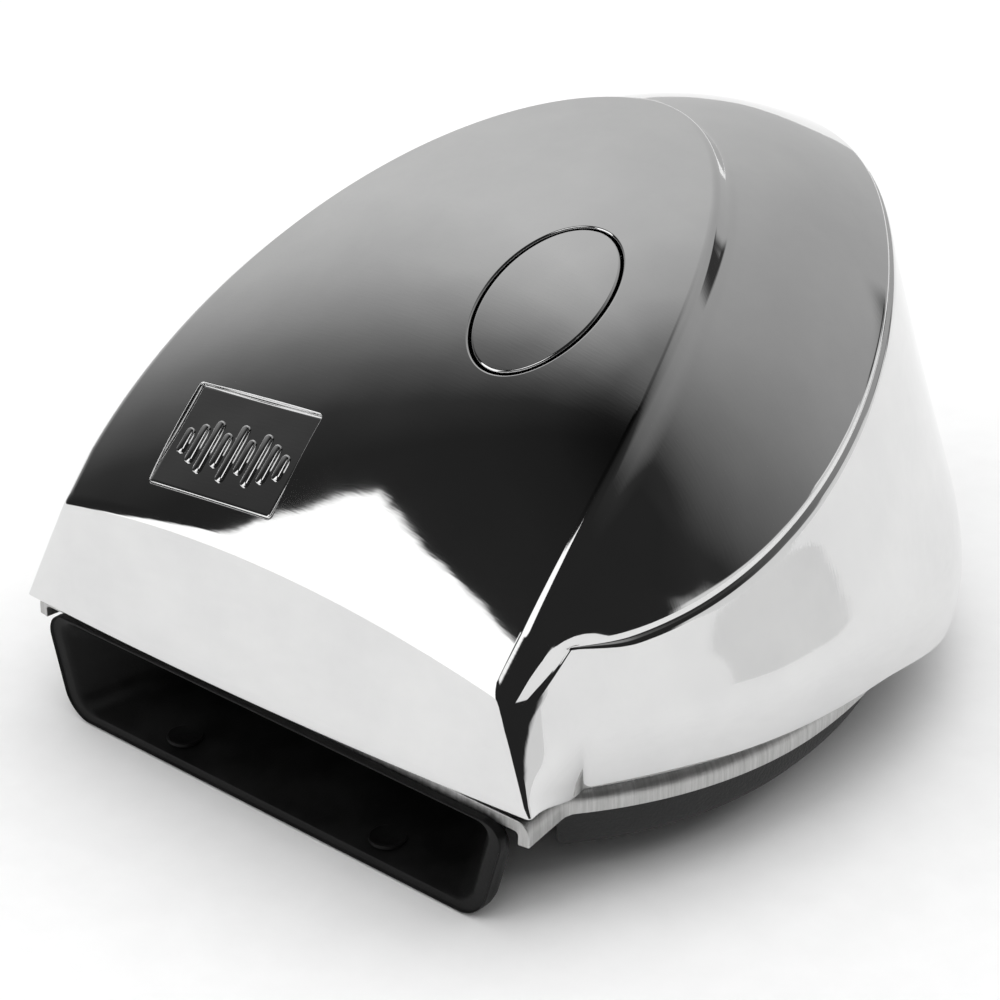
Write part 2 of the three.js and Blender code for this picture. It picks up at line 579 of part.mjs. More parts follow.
// ---------- contact breaker and tuning ----------
function breakerPieces() {
  const { arm, strip, thick, tab, tabTop, pivotY, width, contact, boardLow } = BREAKER;
  const z = DRIVER.z;
  const boardTop = strip - thick / 2 - GAP;
  add('breaker_base', block(8, 7, boardTop - boardLow, 0, pivotY + 1, z + (boardTop + boardLow) / 2), brownBoard);
  const armLength = pivotY - tab;
  const tabLow = arm - thick / 2;
  const armShape = block(width, armLength, thick, 0, tab + armLength / 2, z + arm)
    .add(block(width, thick, tabTop - tabLow, 0, tab + thick / 2, z + (tabTop + tabLow) / 2));
  add('breaker_arm', armShape, brassMetal);
  add('moving_contact', rod(1.1, tab - GAP - thick, tab - GAP, 0, z + contact, 12), brassMetal);
  const stripFront = tab - 2.9;
  const stripLength = pivotY + 4 - stripFront;
  const fixed = block(width, stripLength, thick, 0, stripFront + stripLength / 2, z + strip)
    .add(block(width, thick, contact + 1.2 - strip, 0, stripFront + thick / 2, z + (contact + 1.2 + strip) / 2))
    .add(rod(1.1, stripFront, stripFront + 1.7, 0, z + contact, 12));
  add('fixed_contact', fixed, brassMetal);

  const screw = upright(TUNING.radius, z + TUNING.end, z + TUNING.tip, 0, TUNING.y, 12)
    .add(upright(TUNING.radius + 1, z + TUNING.end, z + TUNING.end + TUNING.head, 0, TUNING.y, 12))
    .subtract(block(6, TUNING.slot, 1.6, 0, TUNING.y, z + TUNING.end));
  add('tuning_screw', screw, brassMetal);
  const nutTop = z - DRIVER.can - GAP;
  const nut = upright(TUNING.nut, nutTop - 2, nutTop, 0, TUNING.y, 6)
    .subtract(upright(TUNING.radius + GAP, 0, z, 0, TUNING.y, 12));
  add('tuning_nut', nut, zincSteel);
}

function terminalPieces() {
  const z = DRIVER.z + TERMINAL.z;
  const front = DRIVER.back + GAP;
  let board = block(TERMINAL.boardWidth, BRACKET.sheet, TERMINAL.boardHigh, 0, front + BRACKET.sheet / 2, z);
  for (const [side, name] of [[-1, 'left'], [1, 'right']]) {
    const x = side * TERMINAL.x;
    board = board.subtract(block(TERMINAL.width + 2 * GAP, 10, TERMINAL.thick + 2 * GAP, x, front, z));
    const start = DRIVER.back - DRIVER.sheet;
    const blade = block(TERMINAL.width, TERMINAL.end - start, TERMINAL.thick, x, (TERMINAL.end + start) / 2, z);
    add(`terminal_${name}`, blade, brassMetal);
  }
  add('terminal_board', board, brownBoard);
}

coverPieces();
panPiece();
basePiece();
coverScrews();
grommetPiece();
hornPiece();
driverPieces();
magnetPieces();
armaturePiece();
breakerPieces();
terminalPieces();

export default root;
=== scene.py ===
"""Looks of the compact deck horn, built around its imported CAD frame. Shapes are worked out in
millimetres, with y = 0 at the centre of the pan's round part and z = 0 on the deck."""

import json
import math

import bmesh
import bpy
import numpy as np
from mathutils import Matrix, Vector
from mathutils.geometry import delaunay_2d_cdt


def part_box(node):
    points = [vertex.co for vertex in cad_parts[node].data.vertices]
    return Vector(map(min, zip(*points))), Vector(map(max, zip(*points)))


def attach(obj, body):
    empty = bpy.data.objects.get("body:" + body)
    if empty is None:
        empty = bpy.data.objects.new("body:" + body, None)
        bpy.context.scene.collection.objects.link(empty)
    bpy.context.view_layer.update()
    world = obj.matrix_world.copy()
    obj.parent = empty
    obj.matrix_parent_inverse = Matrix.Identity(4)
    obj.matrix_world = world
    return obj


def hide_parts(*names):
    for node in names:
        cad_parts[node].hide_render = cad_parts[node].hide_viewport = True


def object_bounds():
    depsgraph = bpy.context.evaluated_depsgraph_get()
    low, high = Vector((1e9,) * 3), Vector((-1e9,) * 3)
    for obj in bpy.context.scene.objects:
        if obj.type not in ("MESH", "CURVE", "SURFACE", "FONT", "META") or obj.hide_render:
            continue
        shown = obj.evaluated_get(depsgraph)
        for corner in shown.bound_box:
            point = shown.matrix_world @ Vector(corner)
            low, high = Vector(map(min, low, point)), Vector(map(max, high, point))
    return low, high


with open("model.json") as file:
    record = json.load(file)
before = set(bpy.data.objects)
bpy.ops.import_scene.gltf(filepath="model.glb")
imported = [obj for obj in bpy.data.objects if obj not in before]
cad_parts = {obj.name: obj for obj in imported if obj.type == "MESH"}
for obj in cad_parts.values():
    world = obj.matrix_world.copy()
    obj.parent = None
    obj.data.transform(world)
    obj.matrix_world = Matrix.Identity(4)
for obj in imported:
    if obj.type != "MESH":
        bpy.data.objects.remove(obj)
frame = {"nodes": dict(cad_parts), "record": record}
cad_low, cad_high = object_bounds()

# ---------- driving dimensions, in millimetres and degrees ----------
MM = 0.001
SHARP = 38  # edges between faces that meet at more than this are drawn sharp
PAN = {"radius": 49.1, "rear": 60, "top": 14.7, "bottom": 11.7, "sheet": 1.5, "bend": 1.1}
PAN_EDGE_BREAK = 0.14
SNOUT = {"half_width": 39.2, "front": -38.9, "join": (38.15, -31)}
SNOUT_RUN = 0.93  # the pan's straight side stops at this share of the way to the join
ARC_START = 0.012  # and its round part starts this many radians past it
TEE = {"wide": 28.5, "narrow": 23.5, "front": -30.5, "shoulder": 17, "rear": 41}
COVER_HOLE = {"x": 17, "y": 45, "in_pan": 1.7, "in_base": 3.8}
DECK_HOLE = {"x": 32.2, "y": 4, "radius": 2.3}
WIRE_HOLE = {"x": 30, "y": 25, "in_pan": 4.5, "in_base": 3.6, "top": 9.5}
BASE_OPENING = {"half_width": 35.5, "rear": -17}
centre_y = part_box("pan")[1].y / MM - PAN["rear"]
ORIGIN = np.array([0, centre_y, 0])

BROW = {"y": -38.2, "z": 32.9, "rise": 53.3, "reach": 28.3, "half_width": 34, "bow": 0.4}
TAIL = {"y": 58, "z": 65.1, "fall": -20.1, "reach": 35.5}
CROWN = {"base": 0.00488, "per_y": 0.00003}
TONGUE = {"length": 69.6, "power": 1.85, "start": 90, "end": 4}
STEP = {"out": 2, "down": 2.4}
LOBE = {"half_width": 44, "y": -1.7, "rear": 60.8, "front": 50, "tip": -33.5, "pinch": 0.045}
LOBE_HEIGHT = {"low": 31.8, "high": 61.5, "y": -29.4, "run": 105.6, "crown": 1.6}
LEDGE_WALL = {"out": 0.1, "down": 0.65}  # a low wall under the lobe's edge
LEDGE_SHELF = {"out": 0.8, "down": 0.95}  # the narrow shelf at its foot
LEDGE_TIP = {"share": 0.2, "fade": 14}  # the share of it left at the lobe's tip, and how fast it fades
RIM = {"half_width": 50.3, "y": 10, "rear": 56.5, "front": 61, "z": 14.2, "tip": -39.6}
RIM_DROP = {"z": 9.5, "y": 10, "run": 28}
BULGE = {"out": 1.05, "up": 6}
FASCIA = {"half_width": 40.2, "y": -39.9, "bow": 1.3, "lift": 1.1, "lean": 0.9}
CAP = {"x": 12.35, "y": -4.8, "a": 7.05, "b": 11.5, "turn": 6, "gap": 0.35, "round": 0.3}
PLATE = {"x": -12.4, "y": -31, "width": 19.9, "height": 13.5, "recess": 1.3}
CAP_EDGE = 0.28  # rounding of the cap's own edge
PLATE_CORNER = 0.5
RECESS_EDGE = 0.18
WALL = 2.2
STEM = [(3, WALL), (3, 7.6), (2.6, 8)]  # radius and depth of the rings of the cap's stem
INNER_INSET = 2.75
INNER_AXIS = np.array([0.0, 4.0])  # plan point the cover's inside is drawn in towards

# points along each stretch of a ring of the cover, and round the smaller outlines
SIDE_COLUMNS = 150
SNOUT_COLUMNS = 18
FRONT_COLUMNS = 90
CORNER_COLUMNS = 7
OVAL_COLUMNS = 112
PAN_COLUMNS = 180


# ---------- small maths ----------
def mix(a, b, t):
    return a + (b - a) * t


def smooth(t):
    t = np.clip(t, 0, 1)
    return t * t * (3 - 2 * t)


def unit(v):
    return v / np.linalg.norm(v, axis=-1, keepdims=True)


def stack(*parts):
    return np.stack(np.broadcast_arrays(*parts), axis=-1).astype(float)


def full_turn(count):
    return np.linspace(0, 2 * math.pi, count, endpoint=False)


def bend(start, corner, end, q):
    """A quadratic curve from start to end, pulled towards corner."""
    return (1 - q) ** 2 * start + 2 * q * (1 - q) * corner + q * q * end


def bend_rings(start, corner, end, count):
    return [bend(start, corner, end, q) for q in np.linspace(0, 1, count)]


def toward(a, b, distance):
    """The point at a distance from a on the way to b."""
    return a + unit(b - a) * distance


def in_polygon(points, polygon):
    """Whether each plan point lies inside, by counting the edges crossed on its left."""
    inside = np.zeros(len(points), bool)
    x, y = points[:, 0], points[:, 1]
    previous = polygon[-1]
    for current in polygon:
        crosses = (current[1] > y) != (previous[1] > y)
        rise = previous[1] - current[1]
        if abs(rise) > 1e-12:
            at = (previous[0] - current[0]) * (y - current[1]) / rise + current[0]
            inside ^= crosses & (x < at)
        previous = current
    return inside


# ---------- mesh building ----------
def add_object(name, data):
    item = bpy.data.objects.new(name, data)
    bpy.context.scene.collection.objects.link(item)
    return item


class Shape:
    """Collects points and faces in millimetres; some points carry an exact normal."""

    def __init__(self):
        self.points = []
        self.faces = []
        self.normals = {}

    def ring(self, points, normals=None):
        first = len(self.points)
        self.points.extend(np.asarray(points, float))
        indices = list(range(first, len(self.points)))
        if normals is not None:
            self.normals.update(zip(indices, normals))
        return indices

    def bridge(self, a, b, closed=True):
        count = len(a)
        for j in range(count if closed else count - 1):
            k = (j + 1) % count
            self.faces.append((a[j], a[k], b[k], b[j]))

    def loft(self, rings, closed=True, start=None):
        made = [start] if start else []
        made += [self.ring(r) for r in rings]
        for a, b in zip(made, made[1:]):
            self.bridge(a, b, closed)
        return made

    def fan(self, ring):
        centre = np.mean([self.points[i] for i in ring], axis=0)
        hub = self.ring([centre])[0]
        for j, i in enumerate(ring):
            self.faces.append((i, ring[(j + 1) % len(ring)], hub))

    def closed_loft(self, rings):
        """A loft with a fan over its first and its last ring."""
        made = self.loft(rings)
        self.fan(made[0])
        self.fan(made[-1])

    def add(self, other):
        offset = len(self.points)
        self.points += other.points
        self.faces += [tuple(i + offset for i in face) for face in other.faces]

    def tube(self, rings):
        """A loft that closes on itself."""
        made = self.loft(rings)
        self.bridge(made[-1], made[0])

    def patch(self, boundary, holes, interior, height, normal=None):
        """Fills the plan region inside a ring and outside the hole rings with triangles."""
        rings = [boundary, *holes]
        outline, *openings = [np.array([self.points[i][:2] for i in ring]) for ring in rings]

        def within(points):
            inside = in_polygon(points, outline)
            for opening in openings:
                inside &= ~in_polygon(points, opening)
            return inside

        ids = [i for ring in rings for i in ring]
        coords = [Vector(self.points[i][:2]) for i in ids]
        edges = []
        start = 0
        for ring in rings:
            count = len(ring)
            edges += [(start + j, start + (j + 1) % count) for j in range(count)]
            start += count
        coords += [Vector(p) for p in interior[within(interior)]]
        verts, _, faces, sources, _, _ = delaunay_2d_cdt(coords, edges, [], 0, 1e-6)
        index = []
        for v, source in zip(verts, sources):
            known = [ids[s] for s in source if s < len(ids)]
            if known:
                index.append(known[0])
                continue
            x, y = v
            normals = None if normal is None else [normal(x, y)]
            index.append(self.ring([(x, y, float(height(x, y)))], normals)[0])
        middles = np.array([[sum(verts[i][k] for i in f) / 3 for k in (0, 1)] for f in faces])
        for face, kept in zip(faces, within(middles)):
            if kept:
                self.faces.append(tuple(index[i] for i in face))

    def mesh(self, name):
        """The shape as a mesh in metres, in the part's frame, with its faces turned outwards."""
        mesh = bpy.data.meshes.new(name)
        mesh.from_pydata([tuple((p + ORIGIN) * MM) for p in self.points], [], self.faces)
        work = bmesh.new()
        work.from_mesh(mesh)
        bmesh.ops.recalc_face_normals(work, faces=work.faces)
        work.to_mesh(mesh)
        work.free()
        return mesh

    def build(self, name, material, replaces, body="horn_body", sharp=SHARP):
        mesh = self.mesh(name)
        mesh.shade_smooth()
        mesh.set_sharp_from_angle(angle=math.radians(sharp))
        if self.normals:
            normals = np.zeros((len(self.points), 3))
            for i, n in self.normals.items():
                normals[i] = n
            mesh.normals_split_custom_set_from_vertices([tuple(n) for n in normals])
        mesh.materials.append(material)
        piece = add_object(name, mesh)
        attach(piece, body)
        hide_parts(*replaces)
        return piece


def carve(piece, shapes):
    """Cuts the shapes out of a piece and leaves it a plain mesh."""
    cutters = [add_object("cutter", shape.mesh("cutter")) for shape in shapes]
    for cutter in cutters:
        modifier = piece.modifiers.new("cut", "BOOLEAN")
        modifier.operation = "DIFFERENCE"
        modifier.solver = "EXACT"
        modifier.object = cutter
    bpy.context.view_layer.update()
    graph = bpy.context.evaluated_depsgraph_get()
    carved = bpy.data.meshes.new_from_object(piece.evaluated_get(graph))
    piece.modifiers.clear()
    piece.data = carved
    carved.set_sharp_from_angle(angle=math.radians(SHARP))
    for cutter in cutters:
        bpy.data.objects.remove(cutter)


def circle(radius, x, y, z, count=40):
    angle = full_turn(count)
    return stack(x + radius * np.cos(angle), y + radius * np.sin(angle), z)


def post(radius, x, y, low, high):
    shape = Shape()
    shape.closed_loft([circle(radius, x, y, z) for z in (low, high)])
    return shape


def box_shape(low, high):
    shape = Shape()
    corners = [(low[0], low[1]), (high[0], low[1]), (high[0], high[1]), (low[0], high[1])]
    rings = shape.loft([[(x, y, z) for x, y in corners] for z in (low[2], high[2])])
    shape.faces += [tuple(rings[0]), tuple(rings[1])]
    return shape


CORNERS = np.array([(1, 1), (-1, 1), (-1, -1), (1, -1)])


def round_box(half, radius, arc_points, runs):
    """Outline of a rectangle with round corners; runs are the steps across and up its sides."""
    points = []
    for quarter, sign in enumerate(CORNERS):
        turns = np.linspace(0, math.pi / 2, arc_points) + quarter * math.pi / 2
        points += list(sign * (half - radius) + radius * stack(np.cos(turns), np.sin(turns)))
        side = radius * np.array([math.cos(turns[-1]), math.sin(turns[-1])])
        end = CORNERS[(quarter + 1) % 4] * (half - radius) + side
        count = runs[quarter % 2]
        points += list(mix(points[-1], end, np.arange(1, count)[:, None] / count))
    return np.array(points)


# ---------- node materials ----------
def new_material(name):
    material = bpy.data.materials.new(name)
    material.use_nodes = True
    tree = material.node_tree
    shader = tree.nodes["Principled BSDF"]
    return material, tree, shader


def noise(tree, scale, detail=3.0, rough=0.5, stretch=(1, 1, 1)):
    """Noise in the object's own space, with stretch as the scale along each axis."""
    coordinates = tree.nodes.new("ShaderNodeTexCoord")
    mapping = tree.nodes.new("ShaderNodeMapping")
    mapping.inputs["Scale"].default_value = stretch
    texture = tree.nodes.new("ShaderNodeTexNoise")
    texture.inputs["Scale"].default_value = scale
    texture.inputs["Detail"].default_value = detail
    texture.inputs["Roughness"].default_value = rough
    tree.links.new(coordinates.outputs["Object"], mapping.inputs["Vector"])
    tree.links.new(mapping.outputs["Vector"], texture.inputs["Vector"])
    return texture


def ramp(tree, source, stops):
    node = tree.nodes.new("ShaderNodeValToRGB")
    elements = node.color_ramp.elements
    for element, (place, colour) in zip(elements, (stops[0], stops[-1])):
        element.position = place
        element.color = (*colour, 1)
    for place, colour in stops[1:-1]:
        elements.new(place).color = (*colour, 1)
    tree.links.new(source, node.inputs["Fac"])
    return node.outputs["Color"]


NOISE_SPAN = (0.3, 0.7)  # most of a noise texture lies between these


def spread(tree, source, low, high):
    """Maps the usual span of a noise to low and high."""
    node = tree.nodes.new("ShaderNodeMapRange")
    node.inputs["From Min"].default_value = NOISE_SPAN[0]
    node.inputs["From Max"].default_value = NOISE_SPAN[1]
    node.inputs["To Min"].default_value = low
    node.inputs["To Max"].default_value = high
    tree.links.new(source, node.inputs["Value"])
    return node.outputs["Result"]


def bump(tree, source, strength, distance, after=None):
    node = tree.nodes.new("ShaderNodeBump")
    node.inputs["Strength"].default_value = strength
    node.inputs["Distance"].default_value = distance
    tree.links.new(source, node.inputs["Height"])
    if after is not None:
        tree.links.new(after, node.inputs["Normal"])
    return node.outputs["Normal"]


def grey(value, tint=(1, 1, 1)):
    return tuple(value * c for c in tint)


def chrome_material():
    """Polished chrome on a casting: faint waves and hairlines under a thin film."""
    material, tree, shader = new_material("mirror_chrome")
    shader.inputs["Metallic"].default_value = 1
    film = noise(tree, 70, 5, 0.6)
    tone = ramp(tree, film.outputs["Fac"], [(0.35, grey(0.69)), (0.7, grey(0.74, (1, 1, 0.995)))])
    tree.links.new(tone, shader.inputs["Base Color"])
    tree.links.new(spread(tree, film.outputs["Fac"], 0.03, 0.055), shader.inputs["Roughness"])
    casting = noise(tree, 90, 1)
    waves = bump(tree, casting.outputs["Fac"], 0.05, 0.0012)
    hairlines = noise(tree, 420, 2, 0.5, (1, 9, 1))
    tree.links.new(
        bump(tree, hairlines.outputs["Fac"], 0.007, 0.0002, waves), shader.inputs["Normal"]
    )
    return material


def drawn_steel_material():
    """Stamped sheet: draw marks run up its flange, so the marks follow the angle round the pan."""
    material, tree, shader = new_material("drawn_steel")
    shader.inputs["Metallic"].default_value = 1
    coordinates = tree.nodes.new("ShaderNodeTexCoord")
    split = tree.nodes.new("ShaderNodeSeparateXYZ")
    tree.links.new(coordinates.outputs["Object"], split.inputs["Vector"])
    shifted = tree.nodes.new("ShaderNodeMath")
    shifted.operation = "SUBTRACT"
    shifted.inputs[1].default_value = centre_y * MM
    tree.links.new(split.outputs["Y"], shifted.inputs[0])
    angle = tree.nodes.new("ShaderNodeMath")
    angle.operation = "ARCTAN2"
    tree.links.new(split.outputs["X"], angle.inputs[0])
    tree.links.new(shifted.outputs["Value"], angle.inputs[1])
    joined = tree.nodes.new("ShaderNodeCombineXYZ")
    tree.links.new(angle.outputs["Value"], joined.inputs["X"])
    tree.links.new(split.outputs["Z"], joined.inputs["Y"])
    marks = tree.nodes.new("ShaderNodeTexNoise")
    marks.inputs["Scale"].default_value = 90
    marks.inputs["Detail"].default_value = 6
    marks.inputs["Roughness"].default_value = 0.7
    tree.links.new(joined.outputs["Vector"], marks.inputs["Vector"])
    fac = marks.outputs["Fac"]
    tone = ramp(tree, fac, [(0.3, grey(0.33, (1, 0.99, 0.97))), (0.65, grey(0.56, (1, 1, 0.99)))])
    tree.links.new(tone, shader.inputs["Base Color"])
    tree.links.new(spread(tree, fac, 0.3, 0.48), shader.inputs["Roughness"])
    grain = noise(tree, 2600, 2)
    drawn = bump(tree, fac, 0.35, 0.0003)
    tree.links.new(bump(tree, grain.outputs["Fac"], 0.08, 0.0001, drawn), shader.inputs["Normal"])
    return material


def plain_material(
    name, tones, roughness, grain_scale, grain_strength, metallic=0, stretch=(1, 1, 1)
):
    """A base that varies between two tones, with a fine grain."""
    material, tree, shader = new_material(name)
    shader.inputs["Metallic"].default_value = metallic
    cloud = noise(tree, 160, 4, 0.6)
    tone = ramp(tree, cloud.outputs["Fac"], [(0.35, tones[0]), (0.65, tones[1])])
    tree.links.new(tone, shader.inputs["Base Color"])
    tree.links.new(spread(tree, cloud.outputs["Fac"], *roughness), shader.inputs["Roughness"])
    grain = noise(tree, grain_scale, 3, 0.6, stretch)
    tree.links.new(
        bump(tree, grain.outputs["Fac"], grain_strength, 0.0003), shader.inputs["Normal"]
    )
    return material


def winding_material():
    """Fine turns of copper wire side by side along Y."""
    material, tree, shader = new_material("wound_copper")
    shader.inputs["Metallic"].default_value = 0.85
    shader.inputs["Roughness"].default_value = 0.33
    shader.inputs["Coat Weight"].default_value = 0.6
    coordinates = tree.nodes.new("ShaderNodeTexCoord")
    turns = tree.nodes.new("ShaderNodeTexWave")
    turns.bands_direction = "Y"
    turns.inputs["Scale"].default_value = 700
    turns.inputs["Distortion"].default_value = 0.4
    tree.links.new(coordinates.outputs["Object"], turns.inputs["Vector"])
    fac = turns.outputs["Fac"]
    tone = ramp(tree, fac, [(0.1, (0.2, 0.06, 0.02)), (0.8, (0.72, 0.3, 0.12))])
    tree.links.new(tone, shader.inputs["Base Color"])
    tree.links.new(bump(tree, fac, 0.7, 0.0002), shader.inputs["Normal"])
    return material


MOULDING_SHINE = 0.16  # the photo's moulding is almost without highlights

chrome = chrome_material()
drawn_steel = drawn_steel_material()
black_moulding = plain_material(
    "black_moulding", (grey(0.004), grey(0.008)), (0.38, 0.52), 3200, 0.1
)
moulding_shader = black_moulding.node_tree.nodes["Principled BSDF"]
moulding_shader.inputs["Specular IOR Level"].default_value = MOULDING_SHINE
black_rubber = plain_material(
    "black_rubber", (grey(0.012), grey(0.02)), (0.6, 0.75), 2400, 0.5
)
zinc_steel = plain_material(
    "zinc_steel", ((0.42, 0.43, 0.44), (0.66, 0.68, 0.68)), (0.28, 0.45), 1500, 0.1, 1
)
brass = plain_material(
    "contact_brass", ((0.55, 0.4, 0.16), (0.8, 0.62, 0.3)), (0.24, 0.4), 1800, 0.08, 1
)
board = plain_material(
    "brown_board", ((0.12, 0.06, 0.03), (0.22, 0.12, 0.06)), (0.5, 0.65), 900, 0.3, 0, (1, 6, 1)
)
copper = winding_material()


# ---------- surface of the cover ----------
def profile_knots():
    rise = math.radians(BROW["rise"])
    fall = math.radians(TAIL["fall"])
    return np.array([
        [BROW["y"], BROW["z"]],
        [BROW["y"] + BROW["reach"] * math.cos(rise), BROW["z"] + BROW["reach"] * math.sin(rise)],
        [TAIL["y"] - TAIL["reach"] * math.cos(fall), TAIL["z"] - TAIL["reach"] * math.sin(fall)],
        [TAIL["y"], TAIL["z"]],
    ])


KNOTS = profile_knots()


def bezier(t, axis, derivative=False):
    """The long profile's y or z, or how fast it changes."""
    p = KNOTS[:, axis]
    u = 1 - t
    if derivative:
        return 3 * (u * u * (p[1] - p[0]) + 2 * u * t * (p[2] - p[1]) + t * t * (p[3] - p[2]))
    return u**3 * p[0] + 3 * u * u * t * p[1] + 3 * u * t * t * p[2] + t**3 * p[3]


def profile_parameter(y):
    """Where the long profile passes y, found by Newton's method."""
    y = np.asarray(y, float)
    t = np.clip((y - BROW["y"]) / (TAIL["y"] - BROW["y"]), -0.1, 1.1)
    for _ in range(6):
        t = t - (bezier(t, 0) - y) / bezier(t, 0, True)
    return t


def top_height(x, y):
    ridge = bezier(profile_parameter(y), 1)
    return ridge - (CROWN["base"] + CROWN["per_y"] * y) * x * x


def top_normal(x, y):
    t = profile_parameter(y)
    slope = bezier(t, 1, True) / bezier(t, 0, True)
    along_x = -2 * (CROWN["base"] + CROWN["per_y"] * y) * x
    along_y = slope - CROWN["per_y"] * x * x
    return unit(stack(-along_x, -along_y, 1))


# along each side, from 0 at the tail to 1 at the lobe's tip
SIDE = np.linspace(0, 1, SIDE_COLUMNS + 1)


def tongue_outline(out):
    """Plan line of the tongue's side, drawn as part of a superellipse and moved out."""
    angle = np.radians(mix(TONGUE["start"], TONGUE["end"], SIDE))
    across = np.clip(np.cos(angle), 0, 1) ** (2 / TONGUE["power"])
    x = (BROW["half_width"] + out) * across
    return x, BROW["y"] + (TONGUE["length"] + out) * np.sin(angle)


def tongue_side(inset=0.0):
    """The tongue's edge, or a line inside it on the surface."""
    x, y = tongue_outline(-inset)
    return stack(x, y, top_height(x, y))


def foot_side():
    x, y = tongue_outline(STEP["out"])
    return stack(x, y, top_height(x, y) - STEP["down"])


def lobe_side():
    angle = np.radians(mix(90, LOBE["tip"], SIDE))
    drawn = np.where(angle > 0, 1 - LOBE["pinch"] * np.sin(2 * angle) ** 2, 1)
    x = LOBE["half_width"] * np.cos(angle) * drawn
    y = LOBE["y"] + np.where(angle > 0, LOBE["rear"], LOBE["front"]) * np.sin(angle) * drawn
    lift = smooth((y - LOBE_HEIGHT["y"]) / LOBE_HEIGHT["run"])
    return stack(x, y, mix(LOBE_HEIGHT["low"], LOBE_HEIGHT["high"], lift))


def rim_side(out):
    angle = np.radians(mix(90, RIM["tip"], SIDE))
    x = (RIM["half_width"] + out) * np.cos(angle)
    y = RIM["y"] + (np.where(angle > 0, RIM["rear"], RIM["front"]) + out) * np.sin(angle)
    drop = smooth((y - RIM_DROP["y"]) / RIM_DROP["run"])
    return stack(x, y, mix(RIM["z"], RIM_DROP["z"], drop))


def bulge_side():
    return rim_side(BULGE["out"]) + np.array([0, 0, BULGE["up"]])


def lobe_band(t):
    """A line across the slightly crowned lobe, from the step's foot at 0 to its edge at 1."""
    p = mix(foot_side(), lobe_side(), t)
    p[:, 2] += LOBE_HEIGHT["crown"] * math.sin(math.pi * t) * np.minimum(1, 6 * (1 - SIDE))
    return p


def ledge_side(part):
    """A line of the small ledge just under the lobe's edge; it fades out at the tip."""
    lobe = lobe_side()
    fade = smooth((1 - SIDE) * LEDGE_TIP["fade"])[:, None]
    away = bulge_side() - lobe
    away[:, 2] = 0
    step = unit(away) * part["out"] + np.array([0, 0, -part["down"]])
    return lobe + step * mix(LEDGE_TIP["share"], 1, fade)


SKIRT_POWER = 1.03  # a value above 1 hollows the skirt slightly


def skirt_band(t):
    top, low = ledge_side(LEDGE_SHELF), bulge_side()
    p = mix(top, low, t**SKIRT_POWER)
    p[:, 2] = mix(top[:, 2], low[:, 2], t)
    return p


def corner_line(t):
    top = np.array([BROW["half_width"], BROW["y"], top_height(BROW["half_width"], BROW["y"])])
    low = np.array([FASCIA["half_width"], FASCIA["y"], RIM["z"]])
    return mix(top, low, t)


def face_line(t, u):
    """A level line of the front face, from the right at u = 1 to the left at -1."""
    corner = corner_line(t)
    x = corner[0] * u
    y = corner[1] - mix(BROW["bow"], FASCIA["bow"], t) * (1 - u * u)
    brow = top_height(BROW["half_width"] * u, BROW["y"] - BROW["bow"] * (1 - u * u))
    return stack(x, y, mix(brow, RIM["z"], t))


def brow_line(inset, u):
    """A line on the tongue just behind the brow."""
    x = (BROW["half_width"] - inset) * u
    y = BROW["y"] + inset - BROW["bow"] * (1 - u * u)
    return stack(x, y, top_height(x, y))


CORNER_TRIM = 0.7  # rounding of the front face's upright corners
SKEW_START = -30.5  # the front face's foot rises ahead of this
SKEW_RUN = 8


def closed_line(side, corner, front):
    """Joins a side line to its front line round a small rounded corner, and mirrors it."""
    tip = side[-1]
    reach = np.linalg.norm(corner - tip)
    steps = np.linspace(0, 1 - CORNER_TRIM / reach, SNOUT_COLUMNS + 1)[1:, None]
    snout = mix(tip, corner, steps)
    margin = CORNER_TRIM / corner[0]
    across = front(np.linspace(1 - margin, -1 + margin, FRONT_COLUMNS))
    q = np.linspace(0, 1, CORNER_COLUMNS + 2)[1:-1, None]
    right = np.concatenate([side, snout, bend(snout[-1], corner, across[0], q)])
    mirrored = right[1:][::-1] * np.array([-1, 1, 1])
    return np.concatenate([right, across, mirrored])


def face_ring(side, t):
    """A ring through a side line and across the front face, whose foot is cast a little askew."""
    ring = closed_line(side, corner_line(t), lambda u: face_line(t, u))
    ahead = smooth((SKEW_START - ring[:, 1]) / SKEW_RUN)
    ring[:, 2] += t * ahead * (FASCIA["lift"] + FASCIA["lean"] * ring[:, 0] / FASCIA["half_width"])
    return ring


def top_ring(inset):
    corner = brow_line(inset, np.array([1.0]))[0]
    return closed_line(tongue_side(inset), corner, lambda u: brow_line(inset, u))


def pulled_in(ring, distance, down=0.0):
    """A ring moved towards the cover's inner axis and down."""
    away = ring[:, :2] - INNER_AXIS
    share = 1 - distance / np.linalg.norm(away, axis=1)
    return stack(
        INNER_AXIS[0] + away[:, 0] * share, INNER_AXIS[1] + away[:, 1] * share, ring[:, 2] - down
    )


# rounding of the tongue's upper edge, the step's foot, the lobe's edge and the rim's lip
EDGE_TRIM = 0.8
FOOT_TRIM = 1.1
LOBE_TRIM = 0.5
LIP_TRIM = 0.35
RIM_SEAT = 0.8  # the rim's lip hangs this far below its seat on the pan


